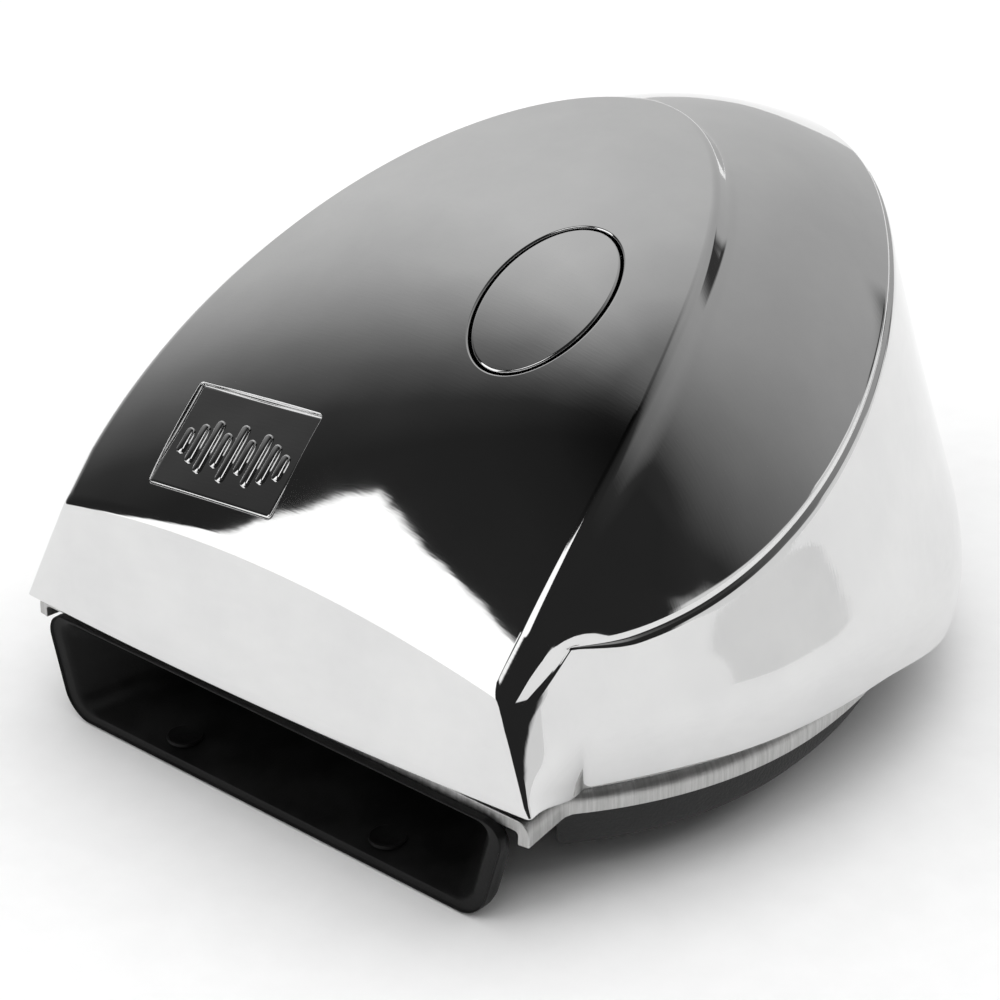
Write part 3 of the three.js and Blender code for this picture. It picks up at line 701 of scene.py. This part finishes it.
def cover_rings():
    """Outer rings from just inside the tongue's edge down to the rim, then inner rings back up.

    Each face_ring crosses the front face at its own level, from 0 at the brow to 1 at the foot."""
    edge, foot, lobe = tongue_side(), foot_side(), lobe_side()
    wall, shelf = ledge_side(LEDGE_WALL), ledge_side(LEDGE_SHELF)
    bulge, rim = bulge_side(), rim_side(0)
    # the roundings shrink towards the lobe's tip, where the lines draw together
    short = np.minimum(1, 8 * (1 - SIDE) + 0.3)[:, None]
    rings = bend_rings(
        top_ring(EDGE_TRIM), face_ring(edge, 0), face_ring(toward(edge, foot, EDGE_TRIM), 0.05), 9
    )
    rings += bend_rings(
        face_ring(toward(foot, edge, FOOT_TRIM), 0.1),
        face_ring(foot, 0.13),
        face_ring(toward(foot, lobe_band(0.12), FOOT_TRIM * 0.8 * short), 0.16),
        7,
    )
    for t in np.linspace(0.14, 0.9, 12):
        rings.append(face_ring(lobe_band(t), mix(0.17, 0.27, t)))
    rings += bend_rings(
        face_ring(toward(lobe, lobe_band(0.92), LOBE_TRIM * short), 0.28),
        face_ring(lobe, 0.3),
        face_ring(mix(lobe, wall, 0.4), 0.31),
        7,
    )
    rings += bend_rings(
        face_ring(mix(lobe, wall, 0.85), 0.325),
        face_ring(wall, 0.33),
        face_ring(mix(wall, shelf, 0.15), 0.335),
        4,
    )
    rings += bend_rings(
        face_ring(mix(wall, shelf, 0.55), 0.345),
        face_ring(shelf, 0.355),
        face_ring(skirt_band(0.035), 0.37),
        7,
    )
    for t in np.linspace(0.07, 0.72, 16):
        rings.append(face_ring(skirt_band(t), mix(0.38, 0.68, t / 0.72)))
    rings += bend_rings(
        face_ring(skirt_band(0.78), 0.7),
        face_ring(bulge, 0.8),
        face_ring(mix(bulge, rim, 0.78), 0.9),
        12,
    )
    rings += bend_rings(
        face_ring(toward(rim, bulge, LIP_TRIM), 0.985),
        face_ring(rim, 1),
        pulled_in(face_ring(rim, 1), LIP_TRIM),
        5,
    )
    inner = [
        pulled_in(face_ring(rim, 1), INNER_INSET, -RIM_SEAT),
        pulled_in(face_ring(bulge, 0.8), INNER_INSET),
        pulled_in(face_ring(skirt_band(0.5), 0.55), INNER_INSET),
        pulled_in(face_ring(lobe, 0.3), INNER_INSET, WALL),
        pulled_in(face_ring(foot, 0.18), INNER_INSET, WALL),
    ]
    last = pulled_in(top_ring(0), INNER_INSET)
    last[:, 2] = top_height(last[:, 0], last[:, 1]) - WALL
    return rings, inner, last


def plan_grid(scales, columns):
    """Plan points inside the tongue, on smaller and smaller copies of its outline."""
    outline = top_ring(0)[:, :2]
    picked = outline[:: max(1, len(outline) // columns)]
    rows = [INNER_AXIS + (picked - INNER_AXIS) * scale for scale in scales]
    return np.concatenate([*rows, [INNER_AXIS]])


# ---------- local frames on the tongue ----------
def surface_frame(x, y):
    """Origin, across, along and outward directions at a point of the tongue."""
    outward = top_normal(x, y)
    slope = top_height(x + 0.5, y) - top_height(x - 0.5, y)
    across = unit(np.array([1.0, 0.0, float(slope)]))
    along = np.cross(outward, across)
    return np.array([x, y, float(top_height(x, y))]), across, along, outward


def seated(local, place, sink=0.0):
    """Points at local plan positions, brought to the tongue along the frame's outward axis."""
    origin, across, along, outward = place
    base = origin + local[:, :1] * across + local[:, 1:2] * along
    lift = np.zeros(len(local))
    for _ in range(8):
        p = base + lift[:, None] * outward
        error = top_height(p[:, 0], p[:, 1]) - p[:, 2]
        normal = top_normal(p[:, 0], p[:, 1])
        lift += error * normal[:, 2] / (normal @ outward)
    return base + (lift - sink)[:, None] * outward


cap_place = surface_frame(CAP["x"], CAP["y"])
plate_place = surface_frame(PLATE["x"], PLATE["y"])


def oval(grow):
    angle = full_turn(OVAL_COLUMNS)
    turn = math.radians(CAP["turn"])
    x = (CAP["a"] + grow) * np.cos(angle)
    y = (CAP["b"] + grow) * np.sin(angle)
    return stack(x * math.cos(turn) - y * math.sin(turn), x * math.sin(turn) + y * math.cos(turn))


def rectangle(grow):
    """The plate's outline with small round corners."""
    half = np.array([PLATE["width"] / 2 + grow, PLATE["height"] / 2 + grow])
    return round_box(half, max(PLATE_CORNER + grow, 0.05), 5, (14, 14))


def rounded_wall(outline, place, gap, radius, depth, side=1):
    """Rings over a rounded edge and down its wall: an opening in the tongue, or -1 for a plug."""
    rings = []
    for angle in np.linspace(0, math.pi / 2, 6):
        grow = gap + side * radius * (1 - math.sin(angle))
        rings.append(seated(outline(grow), place, radius * (1 - math.cos(angle))))
    rings.append(seated(outline(gap), place, depth))
    return rings


def tongue_ring(shape, points):
    """A ring on the tongue that takes the surface's exact normals."""
    return shape.ring(points, top_normal(points[:, 0], points[:, 1]))


def make_cover():
    shape = Shape()
    rings, inner, last = cover_rings()
    first = tongue_ring(shape, rings[0])
    made = shape.loft([*rings[1:], *inner, last], start=first)

    hole = rounded_wall(oval, cap_place, CAP["gap"], CAP["round"], WALL)
    hole_rings = shape.loft(hole[1:], start=tongue_ring(shape, hole[0]))

    recess = rounded_wall(rectangle, plate_place, 0, RECESS_EDGE, PLATE["recess"])
    recess_rings = shape.loft(recess[1:], start=tongue_ring(shape, recess[0]))
    shape.fan(recess_rings[-1])

    shape.patch(
        first,
        [hole_rings[0], recess_rings[0]],
        plan_grid(np.linspace(0.04, 0.985, 34), 140),
        top_height,
        top_normal,
    )
    shape.patch(
        made[-1],
        [hole_rings[-1]],
        plan_grid(np.linspace(0.1, 0.9, 9), 60),
        lambda x, y: top_height(x, y) - WALL,
    )
    shape.build("cast_cover", chrome, ["cover"])


def make_cap():
    shape = Shape()
    edge = rounded_wall(oval, cap_place, 0, CAP_EDGE, WALL, side=-1)
    inside = [seated(oval(-CAP_EDGE) * scale, cap_place) for scale in np.linspace(0.08, 0.96, 16)]
    rings = [tongue_ring(shape, ring) for ring in (*inside, edge[0])]
    rings += [shape.ring(ring) for ring in edge[1:]]
    for a, b in zip(rings, rings[1:]):
        shape.bridge(a, b)
    shape.fan(rings[0])
    hub = shape.points[-1]
    hub[2] = top_height(hub[0], hub[1])
    shape.normals[len(shape.points) - 1] = top_normal(hub[0], hub[1])

    origin, across, along, outward = cap_place
    angle = full_turn(OVAL_COLUMNS)[:, None]
    spoke = np.cos(angle) * across + np.sin(angle) * along
    stem = [origin + radius * spoke - depth * outward for radius, depth in STEM]
    shape.fan(shape.loft(stem, start=rings[-1])[-1])
    shape.build("oval_cap", chrome, ["cover_cap"], "cap")


PLATE_FLOOR = {"middle": 0.72, "tilt": 0.052}  # the floor lies deeper towards the rear


def plate_point(local, lift=0.0):
    """Points on the plate's flat face, with lift above it."""
    origin, across, along, outward = plate_place
    sink = PLATE_FLOOR["middle"] + PLATE_FLOOR["tilt"] * local[:, 1]
    return (
        origin
        + local[:, :1] * across
        + local[:, 1:2] * along
        + (lift - sink)[:, None] * outward
    )


def capsule(length, width):
    """Outline of a bar with round ends, upright."""
    points = []
    for end, start in ((1, 0), (-1, math.pi)):
        turns = start + np.linspace(0, math.pi, 7)
        middle = end * (length - width) / 2
        points += list(stack(width / 2 * np.cos(turns), middle + width / 2 * np.sin(turns)))
    return np.array(points)


PLATE_SUPPORT = [-6, -4, -2, -0.5]  # growth of the rings inside the plate's edge
PLATE_EDGE = [(-0.2, 0), (-0.12, 0.03), (-0.06, 0.12), (-0.06, 0.45)]  # growth and drop
BAR_HEIGHTS = [3.4, 5.2, 7.0, 4.6, 7.6, 4.6, 7.0, 5.2, 3.4]
BARS = {"pitch": 1.95, "width": 1.15, "y": -0.6}
BAR_EDGE = [(0, -0.1), (0, 0.2), (0.08, 0.3), (0.24, 0.34)]  # shrinkage and lift of a bar's rings


def make_plate():
    """Name plate with a generic row of sound bars in place of any lettering."""
    shape = Shape()
    inside = [plate_point(rectangle(grow)) for grow in PLATE_SUPPORT]
    edge = [plate_point(rectangle(grow), -drop) for grow, drop in PLATE_EDGE]
    shape.closed_loft(inside + edge)
    for i, height in enumerate(BAR_HEIGHTS):
        place = i - (len(BAR_HEIGHTS) - 1) / 2
        middle = np.array([place * BARS["pitch"], BARS["y"]])
        rings = []
        for shrink, lift in BAR_EDGE:
            outline = capsule(height - 2 * shrink, BARS["width"] - 2 * shrink)
            rings.append(plate_point(outline + middle, lift))
        shape.closed_loft(rings)
    shape.build("emblem_plate", chrome, ["name_plate"])


# ---------- pan ----------
def pan_path(inset):
    """The pan's open outline from the right front corner round the back to the left, moved in."""
    join_x, join_y = SNOUT["join"]
    front = np.array([SNOUT["half_width"], SNOUT["front"]])
    join = np.array([join_x, join_y])
    straight = mix(front, join, np.linspace(0, SNOUT_RUN, 12)[:, None])
    start = math.atan2(join_y, join_x)
    angle = np.linspace(start + ARC_START, math.pi / 2, 110)
    depth = np.where(angle > 0, PAN["rear"], PAN["radius"])
    arc = stack(PAN["radius"] * np.cos(angle), depth * np.sin(angle))
    right = np.concatenate([straight, arc])
    path = np.concatenate([right, right[:-1][::-1] * np.array([-1, 1])])
    ahead = np.gradient(path, axis=0)
    normal = unit(stack(ahead[:, 1], -ahead[:, 0]))
    moved = path - normal * inset
    moved[[0, -1], 1] = SNOUT["front"]
    return moved


def tee_outline():
    """Opening in the pan for the trumpet and driver, counter-clockwise."""
    wide, narrow, front, shoulder, rear = TEE.values()
    corners = [
        (-wide, front), (wide, front), (wide, shoulder), (narrow, shoulder),
        (narrow, rear), (-narrow, rear), (-narrow, shoulder), (-wide, shoulder),
    ]
    points = []
    for a, b in zip(corners, corners[1:] + corners[:1]):
        for q in np.linspace(0, 1, 8, endpoint=False):
            points.append(mix(np.array(a), np.array(b), q))
    return np.array(points)


def make_pan():
    """The middle of the sheet, with its edge turned down, given its thickness afterwards."""
    shape = Shape()
    half = PAN["sheet"] / 2
    level = PAN["top"] - half
    start = level - PAN["bend"]
    rows = [(half, PAN["bottom"]), (half, (PAN["bottom"] + start) / 2)]
    for angle in np.linspace(0, math.pi / 2, 7):
        inset = half + PAN["bend"] * (1 - math.cos(angle))
        rows.append((inset, start + PAN["bend"] * math.sin(angle)))
    made = shape.loft([stack(*pan_path(inset).T, z) for inset, z in rows], closed=False)
    last = made[-1]
    left, right = shape.points[last[-1]], shape.points[last[0]]
    edge = [mix(left, right, q) for q in np.linspace(0, 1, 24)[1:-1]]
    boundary = last + shape.ring(edge)
    holes = [shape.ring(stack(*tee_outline().T, level))]
    for hole, radius in ((COVER_HOLE, COVER_HOLE["in_pan"]), (DECK_HOLE, DECK_HOLE["radius"])):
        for x in (-hole["x"], hole["x"]):
            holes.append(shape.ring(circle(radius, x, hole["y"], level, 24)))
    wire = circle(WIRE_HOLE["in_pan"], WIRE_HOLE["x"], WIRE_HOLE["y"], level, 32)
    holes.append(shape.ring(wire))
    shape.patch(boundary, holes, np.array([[0.0, 52.0]]), lambda x, y: level)
    pan = shape.build("stamped_pan", drawn_steel, ["pan"], sharp=30)
    thick = pan.modifiers.new("sheet", "SOLIDIFY")
    thick.thickness = PAN["sheet"] * MM
    thick.offset = 0
    thick.use_even_offset = True
    edges = pan.modifiers.new("broken_edges", "BEVEL")
    edges.width = PAN_EDGE_BREAK * MM
    edges.segments = 2
    edges.limit_method = "ANGLE"
    edges.angle_limit = math.radians(55)
    edges.harden_normals = True


# ---------- base ring ----------
def pan_ellipse(inset):
    """The pan's round outline, closed at the front too, moved in."""
    angle = full_turn(PAN_COLUMNS)
    depth = np.where(angle < math.pi, PAN["rear"], PAN["radius"]) - inset
    return stack((PAN["radius"] - inset) * np.cos(angle), depth * np.sin(angle))


BASE_SECTION = [  # inset from the pan's outline, and height
    (3.1, 12.9), (2.9, 12.7), (2.9, 7.0), (3.2, 6.1), (3.9, 5.3), (8.0, 3.0), (13.2, 0.25),
    (13.9, 0.0), (21.6, 0.0), (21.9, 0.3), (21.9, 3.0), (6.7, 9.4), (6.5, 9.6), (6.5, 12.7),
    (6.3, 12.9),
]


def make_base():
    shape = Shape()
    shape.tube([stack(*pan_ellipse(inset).T, z) for inset, z in BASE_SECTION])
    base = shape.build("base_gasket", black_rubber, ["base_ring"])
    wide = BASE_OPENING["half_width"]
    cuts = [box_shape((-wide, -80, -5), (wide, BASE_OPENING["rear"], 30))]
    for side in (-1, 1):
        cuts.append(post(COVER_HOLE["in_base"], side * COVER_HOLE["x"], COVER_HOLE["y"], -1, 20))
        cuts.append(post(DECK_HOLE["radius"], side * DECK_HOLE["x"], DECK_HOLE["y"], -1, 20))
    cuts.append(post(WIRE_HOLE["in_base"], WIRE_HOLE["x"], WIRE_HOLE["y"], -1, WIRE_HOLE["top"]))
    carve(base, cuts)


# ---------- trumpet ----------
DRIVER_Z = 31.8  # height of the driver's axis
FLANGE = {"bore": 8.4, "radius": 27, "front": 8, "back": 10.5, "trim": 0.3}
MARK = {"x": 16.5, "y": -36.6, "floor": 2.28}  # round ejector marks on the mouth's floor
MARK_EDGE = [(2.3, -0.3), (2.3, 0.1), (2.1, 0.16), (1.95, 0.06)]  # radius and lift of its rings
HORN_ARC = 12  # steps round each corner of the trumpet's section
HORN_RUNS = (26, 8)  # and along its sides, across and up
OVAL_ARC = 14  # half the degrees each corner takes up once the section is an oval

# sections: y, half width, half height, height of the middle, corner, roundness and flare
HORN_OUTSIDE = [
    (-39.75, 34.75, 6.5, 6.8, 3.0, 0, 0.28),
    (-40.05, 34.95, 6.68, 6.8, 3.2, 0, 0.28),
    (-39.9, 35.1, 6.8, 6.8, 3.4, 0, 0.28),
    (-39.0, 35.1, 6.8, 6.8, 3.4, 0, 0.28),
    (-38.7, 35.1, 6.45, 6.45, 3.6, 0, 0.28),
    (-37.9, 34.9, 6.3, 6.45, 3.7, 0, 0.28),
    (-37.5, 33.6, 5.75, 6.75, 3.4, 0, 0.25),
    (-36.5, 32.6, 5.4, 7.0, 3.2, 0, 0.24),
    (-33, 30.6, 5.3, 7.2, 3.0, 0, 0.18),
    (-29, 28.2, 5.2, 7.4, 3.0, 0.05, 0.1),
    (-24, 26.2, 6.0, 9.4, 3.6, 0.18, 0.04),
    (-19, 23.5, 7.5, 12.5, 4.6, 0.38, 0),
    (-14, 20.8, 8.3, 16.4, 5.5, 0.6, 0),
    (-9, 18, 9, 20.5, 6, 0.8, 0),
    (-4, 15, 9.5, 25.0, 7, 0.95, 0),
    (0, 12.5, 9.9, 28.2, 8, 1, 0),
    (4, 10.6, 10, 30.6, 8, 1, 0),
    (8.5, 10, 10, DRIVER_Z, 8, 1, 0),
    (10.5, 10, 10, DRIVER_Z, 8, 1, 0),
]
HORN_INSIDE = [
    (10.5, 8, 8, DRIVER_Z, 7, 1, 0),
    (8, 8, 8, DRIVER_Z, 7, 1, 0),
    (4, 8.6, 8, 30.6, 7, 1, 0),
    (0, 10.5, 8, 28.4, 7, 1, 0),
    (-4, 13, 7.5, 25.0, 6, 0.95, 0),
    (-9, 16, 7, 20.5, 5, 0.8, 0),
    (-14, 18.8, 6.3, 16.4, 4.5, 0.6, 0),
    (-19, 21.5, 5.5, 12.5, 4.0, 0.38, 0),
    (-24, 24.2, 4.3, 9.2, 3.0, 0.18, 0.04),
    (-29, 26.2, 3.6, 7.2, 2.4, 0.05, 0.1),
    (-33, 28.6, 4.1, 7.05, 2.4, 0, 0.18),
    (-37.2, 31.2, 5.0, 6.85, 2.2, 0, 0.25),
    (-38.6, 32.2, 5.45, 6.95, 2.2, 0, 0.27),
    (-39.2, 32.7, 5.65, 7.0, 2.2, 0, 0.28),
    (-39.6, 33.1, 5.85, 7.05, 2.3, 0, 0.28),
    (-39.72, 33.5, 6.05, 7.05, 2.5, 0, 0.28),
]


def horn_section(y, half_width, half_height, middle, corner, roundness, flare):
    """A flared rectangle with round corners, turning into an oval as roundness goes to 1."""
    half = np.array([half_width, half_height])
    box = round_box(half, min(corner, half_height * 0.98), HORN_ARC + 1, HORN_RUNS)
    turns = []
    half_arc = math.radians(OVAL_ARC)
    for quarter in range(4):
        centre = quarter * math.pi / 2 + math.pi / 4
        end = centre + math.pi / 2 - half_arc
        turns += list(np.linspace(centre - half_arc, centre + half_arc, HORN_ARC + 1))
        turns += list(np.linspace(centre + half_arc, end, HORN_RUNS[quarter % 2] + 1)[1:-1])
    plan = mix(box, half * stack(np.cos(turns), np.sin(turns)), roundness)
    x = plan[:, 0] + plan[:, 0] / half_width * flare * plan[:, 1]
    return stack(x, y, middle + plan[:, 1])


def flange_ring(radius, y):
    turn = full_turn(96)
    return stack(radius * np.cos(turn), y, DRIVER_Z + radius * np.sin(turn))


def make_trumpet():
    shape = Shape()
    shape.tube([horn_section(*entry) for entry in HORN_OUTSIDE + HORN_INSIDE])
    bore, radius, front, back, trim = FLANGE.values()
    section = [
        (bore, front), (radius - trim, front), (radius, front + trim),
        (radius, back - trim), (radius - trim, back), (bore, back),
    ]
    flange = Shape()
    flange.tube([flange_ring(*entry) for entry in section])
    shape.add(flange)
    for x in (-MARK["x"], MARK["x"]):
        mark = Shape()
        mark.closed_loft([
            circle(size, x, MARK["y"], MARK["floor"] + lift, 36) for size, lift in MARK_EDGE
        ])
        shape.add(mark)
    shape.build("moulded_trumpet", black_moulding, ["trumpet"])


# ---------- carried-over CAD nodes ----------
NODE_MATERIALS = {
    "zinc_steel": zinc_steel,
    "black_rubber": black_rubber,
    "black_moulding": black_moulding,
    "copper_wire": copper,
    "contact_brass": brass,
    "brown_board": board,
    "chrome_cast": chrome,
    "satin_steel": drawn_steel,
}


def dress_nodes():
    """Gives every CAD node the material of its slot."""
    slots = {s["node"]: s["material_slot"] for s in frame["record"]["subparts"]}
    for name, node in frame["nodes"].items():
        node.data.materials.clear()
        node.data.materials.append(NODE_MATERIALS[slots[name]])


# ---------- stage, light and camera ----------
FLOOR_HALF = 3.0  # metres
FLOOR_GAP = 0.0002  # metres from the floor up to the part


def make_floor():
    half = FLOOR_HALF
    corners = [(-half, -half, 0), (half, -half, 0), (half, half, 0), (-half, half, 0)]
    mesh = bpy.data.meshes.new("floor")
    mesh.from_pydata(corners, [], [(0, 1, 2, 3)])
    floor = add_object("floor", mesh)
    floor.location.z = cad_low.z - FLOOR_GAP
    mesh.materials.append(
        plain_material("pale_floor", (grey(0.9), grey(0.92)), (0.8, 0.9), 300, 0.02)
    )


def math_node(tree, operation, *inputs):
    node = tree.nodes.new("ShaderNodeMath")
    node.operation = operation
    for socket, value in zip(node.inputs, inputs):
        if isinstance(value, (int, float)):
            socket.default_value = value
        else:
            tree.links.new(value, socket)
    return node.outputs["Value"]


def fade_up(tree, value, start, end):
    """Goes smoothly from 0 at start to 1 at end."""
    node = tree.nodes.new("ShaderNodeMapRange")
    node.interpolation_type = "SMOOTHSTEP"
    node.inputs["From Min"].default_value = start
    node.inputs["From Max"].default_value = end
    tree.links.new(value, node.inputs["Value"])
    return node.outputs["Result"]


def window(tree, turn, height, turns, heights, soft):
    """1 inside a patch of directions, in degrees, fading out over soft degrees at its edges."""
    sides = [
        fade_up(tree, turn, turns[0] - soft, turns[0] + soft),
        fade_up(tree, turn, turns[1] + soft, turns[1] - soft),
        fade_up(tree, height, heights[0] - soft, heights[0] + soft),
        fade_up(tree, height, heights[1] + soft, heights[1] - soft),
    ]
    mask = sides[0]
    for side in sides[1:]:
        mask = math_node(tree, "MULTIPLY", mask, side)
    return mask


# studio walls: compass direction in degrees, 0 along +X, and how light the wall is there
WALLS = [
    (-180, 0.319), (-174, 0.198), (-167, 0.11), (-158, 0.04), (-148, 0.022), (10, 0.022),
    (20, 0.031), (30, 0.143), (42, 0.264), (54, 0.363), (66, 0.407), (84, 0.462),
    (112, 0.572), (140, 0.66), (156, 0.671), (168, 0.55), (176, 0.396), (180, 0.319),
]
# how the walls fade with height in degrees
CEILING = [(0, 1), (52, 1), (62, 0.92), (71, 0.7), (78, 0.3), (90, 0.08)]
PANELS = {  # soft boxes: compass directions, heights, softness of the edge, strength
    "front_card": ((-140.5, -100), (-30, 47.5), 0.8, 1.5),
    "left_box": ((128, 157), (-25, 16), 1.5, 1.5),
    "right_strip": ((39, 57), (12, 18), 1.5, 1.0),
    "low_wall": ((10, 74), (-20, 11.5), 2.5, 0.84),
    "high_strip": ((-92, -42), (44, 68), 1.5, 1.4),
}
DARK_FLAG = ((61, 77), (-8, 18), 2)  # a black card: directions, heights, softness
FLAG_DEPTH = 0.9  # the share of the light it takes away
RAGGED = {"scale": 14, "detail": 5, "degrees": 2}  # how the soft boxes' edges wander


def make_world():
    """The studio by direction: light walls behind and to the left, a dark room in front."""
    world = bpy.data.worlds.new("studio")
    bpy.context.scene.world = world
    world.use_nodes = True
    tree = world.node_tree
    direction = tree.nodes.new("ShaderNodeTexCoord").outputs["Generated"]
    split = tree.nodes.new("ShaderNodeSeparateXYZ")
    tree.links.new(direction, split.inputs["Vector"])
    x, y, z = (split.outputs[axis] for axis in "XYZ")
    turn = math_node(tree, "MULTIPLY", math_node(tree, "ARCTAN2", y, x), 180 / math.pi)
    height = math_node(tree, "MULTIPLY", math_node(tree, "ARCSINE", z), 180 / math.pi)
    ragged = tree.nodes.new("ShaderNodeTexNoise")
    ragged.inputs["Scale"].default_value = RAGGED["scale"]
    ragged.inputs["Detail"].default_value = RAGGED["detail"]
    tree.links.new(direction, ragged.inputs["Vector"])
    wander = RAGGED["degrees"]
    wobble = math_node(tree, "MULTIPLY_ADD", ragged.outputs["Fac"], 2 * wander, -wander)

    def stops(value, table, start, span):
        place = math_node(tree, "DIVIDE", math_node(tree, "SUBTRACT", value, start), span)
        return ramp(tree, place, [((at - start) / span, grey(tone)) for at, tone in table])

    walls = stops(turn, WALLS, -180, 360)
    ceiling = stops(height, CEILING, 0, 90)
    light = math_node(tree, "MULTIPLY", walls, ceiling)
    flag = window(tree, turn, height, *DARK_FLAG)
    passed = math_node(tree, "MULTIPLY_ADD", flag, -FLAG_DEPTH, 1)
    light = math_node(tree, "MULTIPLY", light, passed)
    bent_turn = math_node(tree, "ADD", turn, wobble)
    bent_height = math_node(tree, "ADD", height, wobble)
    for turns, heights, soft, strength in PANELS.values():
        mask = window(tree, bent_turn, bent_height, turns, heights, soft)
        light = math_node(tree, "MAXIMUM", light, math_node(tree, "MULTIPLY", mask, strength))
    tree.links.new(light, tree.nodes["Background"].inputs["Strength"])
    tree.nodes["Background"].inputs["Color"].default_value = (1, 1, 1, 1)


SUNS = [  # strength, then the disc's width, tilt from overhead and heading in degrees
    (1.5, 70, 25, 60),
    (0.85, 90, 35, 200),
    (0.6, 60, 40, -60),
]


def make_suns():
    """Large soft lights for the floor and the matt parts; the chrome mirrors the studio alone."""
    for number, (strength, angle, tilt, compass) in enumerate(SUNS):
        data = bpy.data.lights.new(f"soft_light_{number + 1}", "SUN")
        data.energy = strength
        data.angle = math.radians(angle)
        light = add_object(data.name, data)
        light.rotation_euler = (0, math.radians(tilt), math.radians(compass))
        light.visible_glossy = False


# angles in degrees, distance in metres, focal length on a 36 mm wide sensor
CAMERA = {"azimuth": 40.6, "elevation": 30.1, "roll": 0.3, "distance": 0.375, "lens": 108}
SENSOR_WIDTH = 36
NEAREST = 0.01  # metres
AIM_HEIGHT = 6  # height of the point over the pan's centre that the camera is placed by
AIM_SHIFT = (11 / 3000, 139 / 3000)  # how far to the right of it and above it the camera looks


def make_camera():
    """The photo's viewpoint; the lens is turned off the part's middle, as the picture is framed."""
    a, e = math.radians(CAMERA["azimuth"]), math.radians(CAMERA["elevation"])
    right = Vector((math.cos(a), math.sin(a), 0))
    up = Vector((-math.sin(a) * math.sin(e), math.cos(a) * math.sin(e), math.cos(e)))
    back = Vector((math.sin(a) * math.cos(e), -math.cos(a) * math.cos(e), math.sin(e)))
    aim = Vector((0, centre_y, AIM_HEIGHT)) * MM
    place = aim + back * CAMERA["distance"]
    look = -back + right * AIM_SHIFT[0] + up * AIM_SHIFT[1]
    data = bpy.data.cameras.new("camera")
    data.lens = CAMERA["lens"]
    data.sensor_width = SENSOR_WIDTH
    data.clip_start = NEAREST
    camera = add_object("camera", data)
    away = -look.normalized()
    level = up.cross(away).normalized()
    upward = away.cross(level)
    turn = Matrix((level, upward, away)).transposed().to_4x4()
    roll = Matrix.Rotation(math.radians(CAMERA["roll"]), 4, "Z")
    camera.matrix_world = Matrix.Translation(place) @ turn @ roll
    bpy.context.scene.camera = camera


make_cover()
make_cap()
make_plate()
make_pan()
make_base()
make_trumpet()
dress_nodes()
make_floor()
make_world()
make_suns()
make_camera()
bpy.context.scene.view_settings.view_transform = "Standard"

bpy.context.view_layer.update()
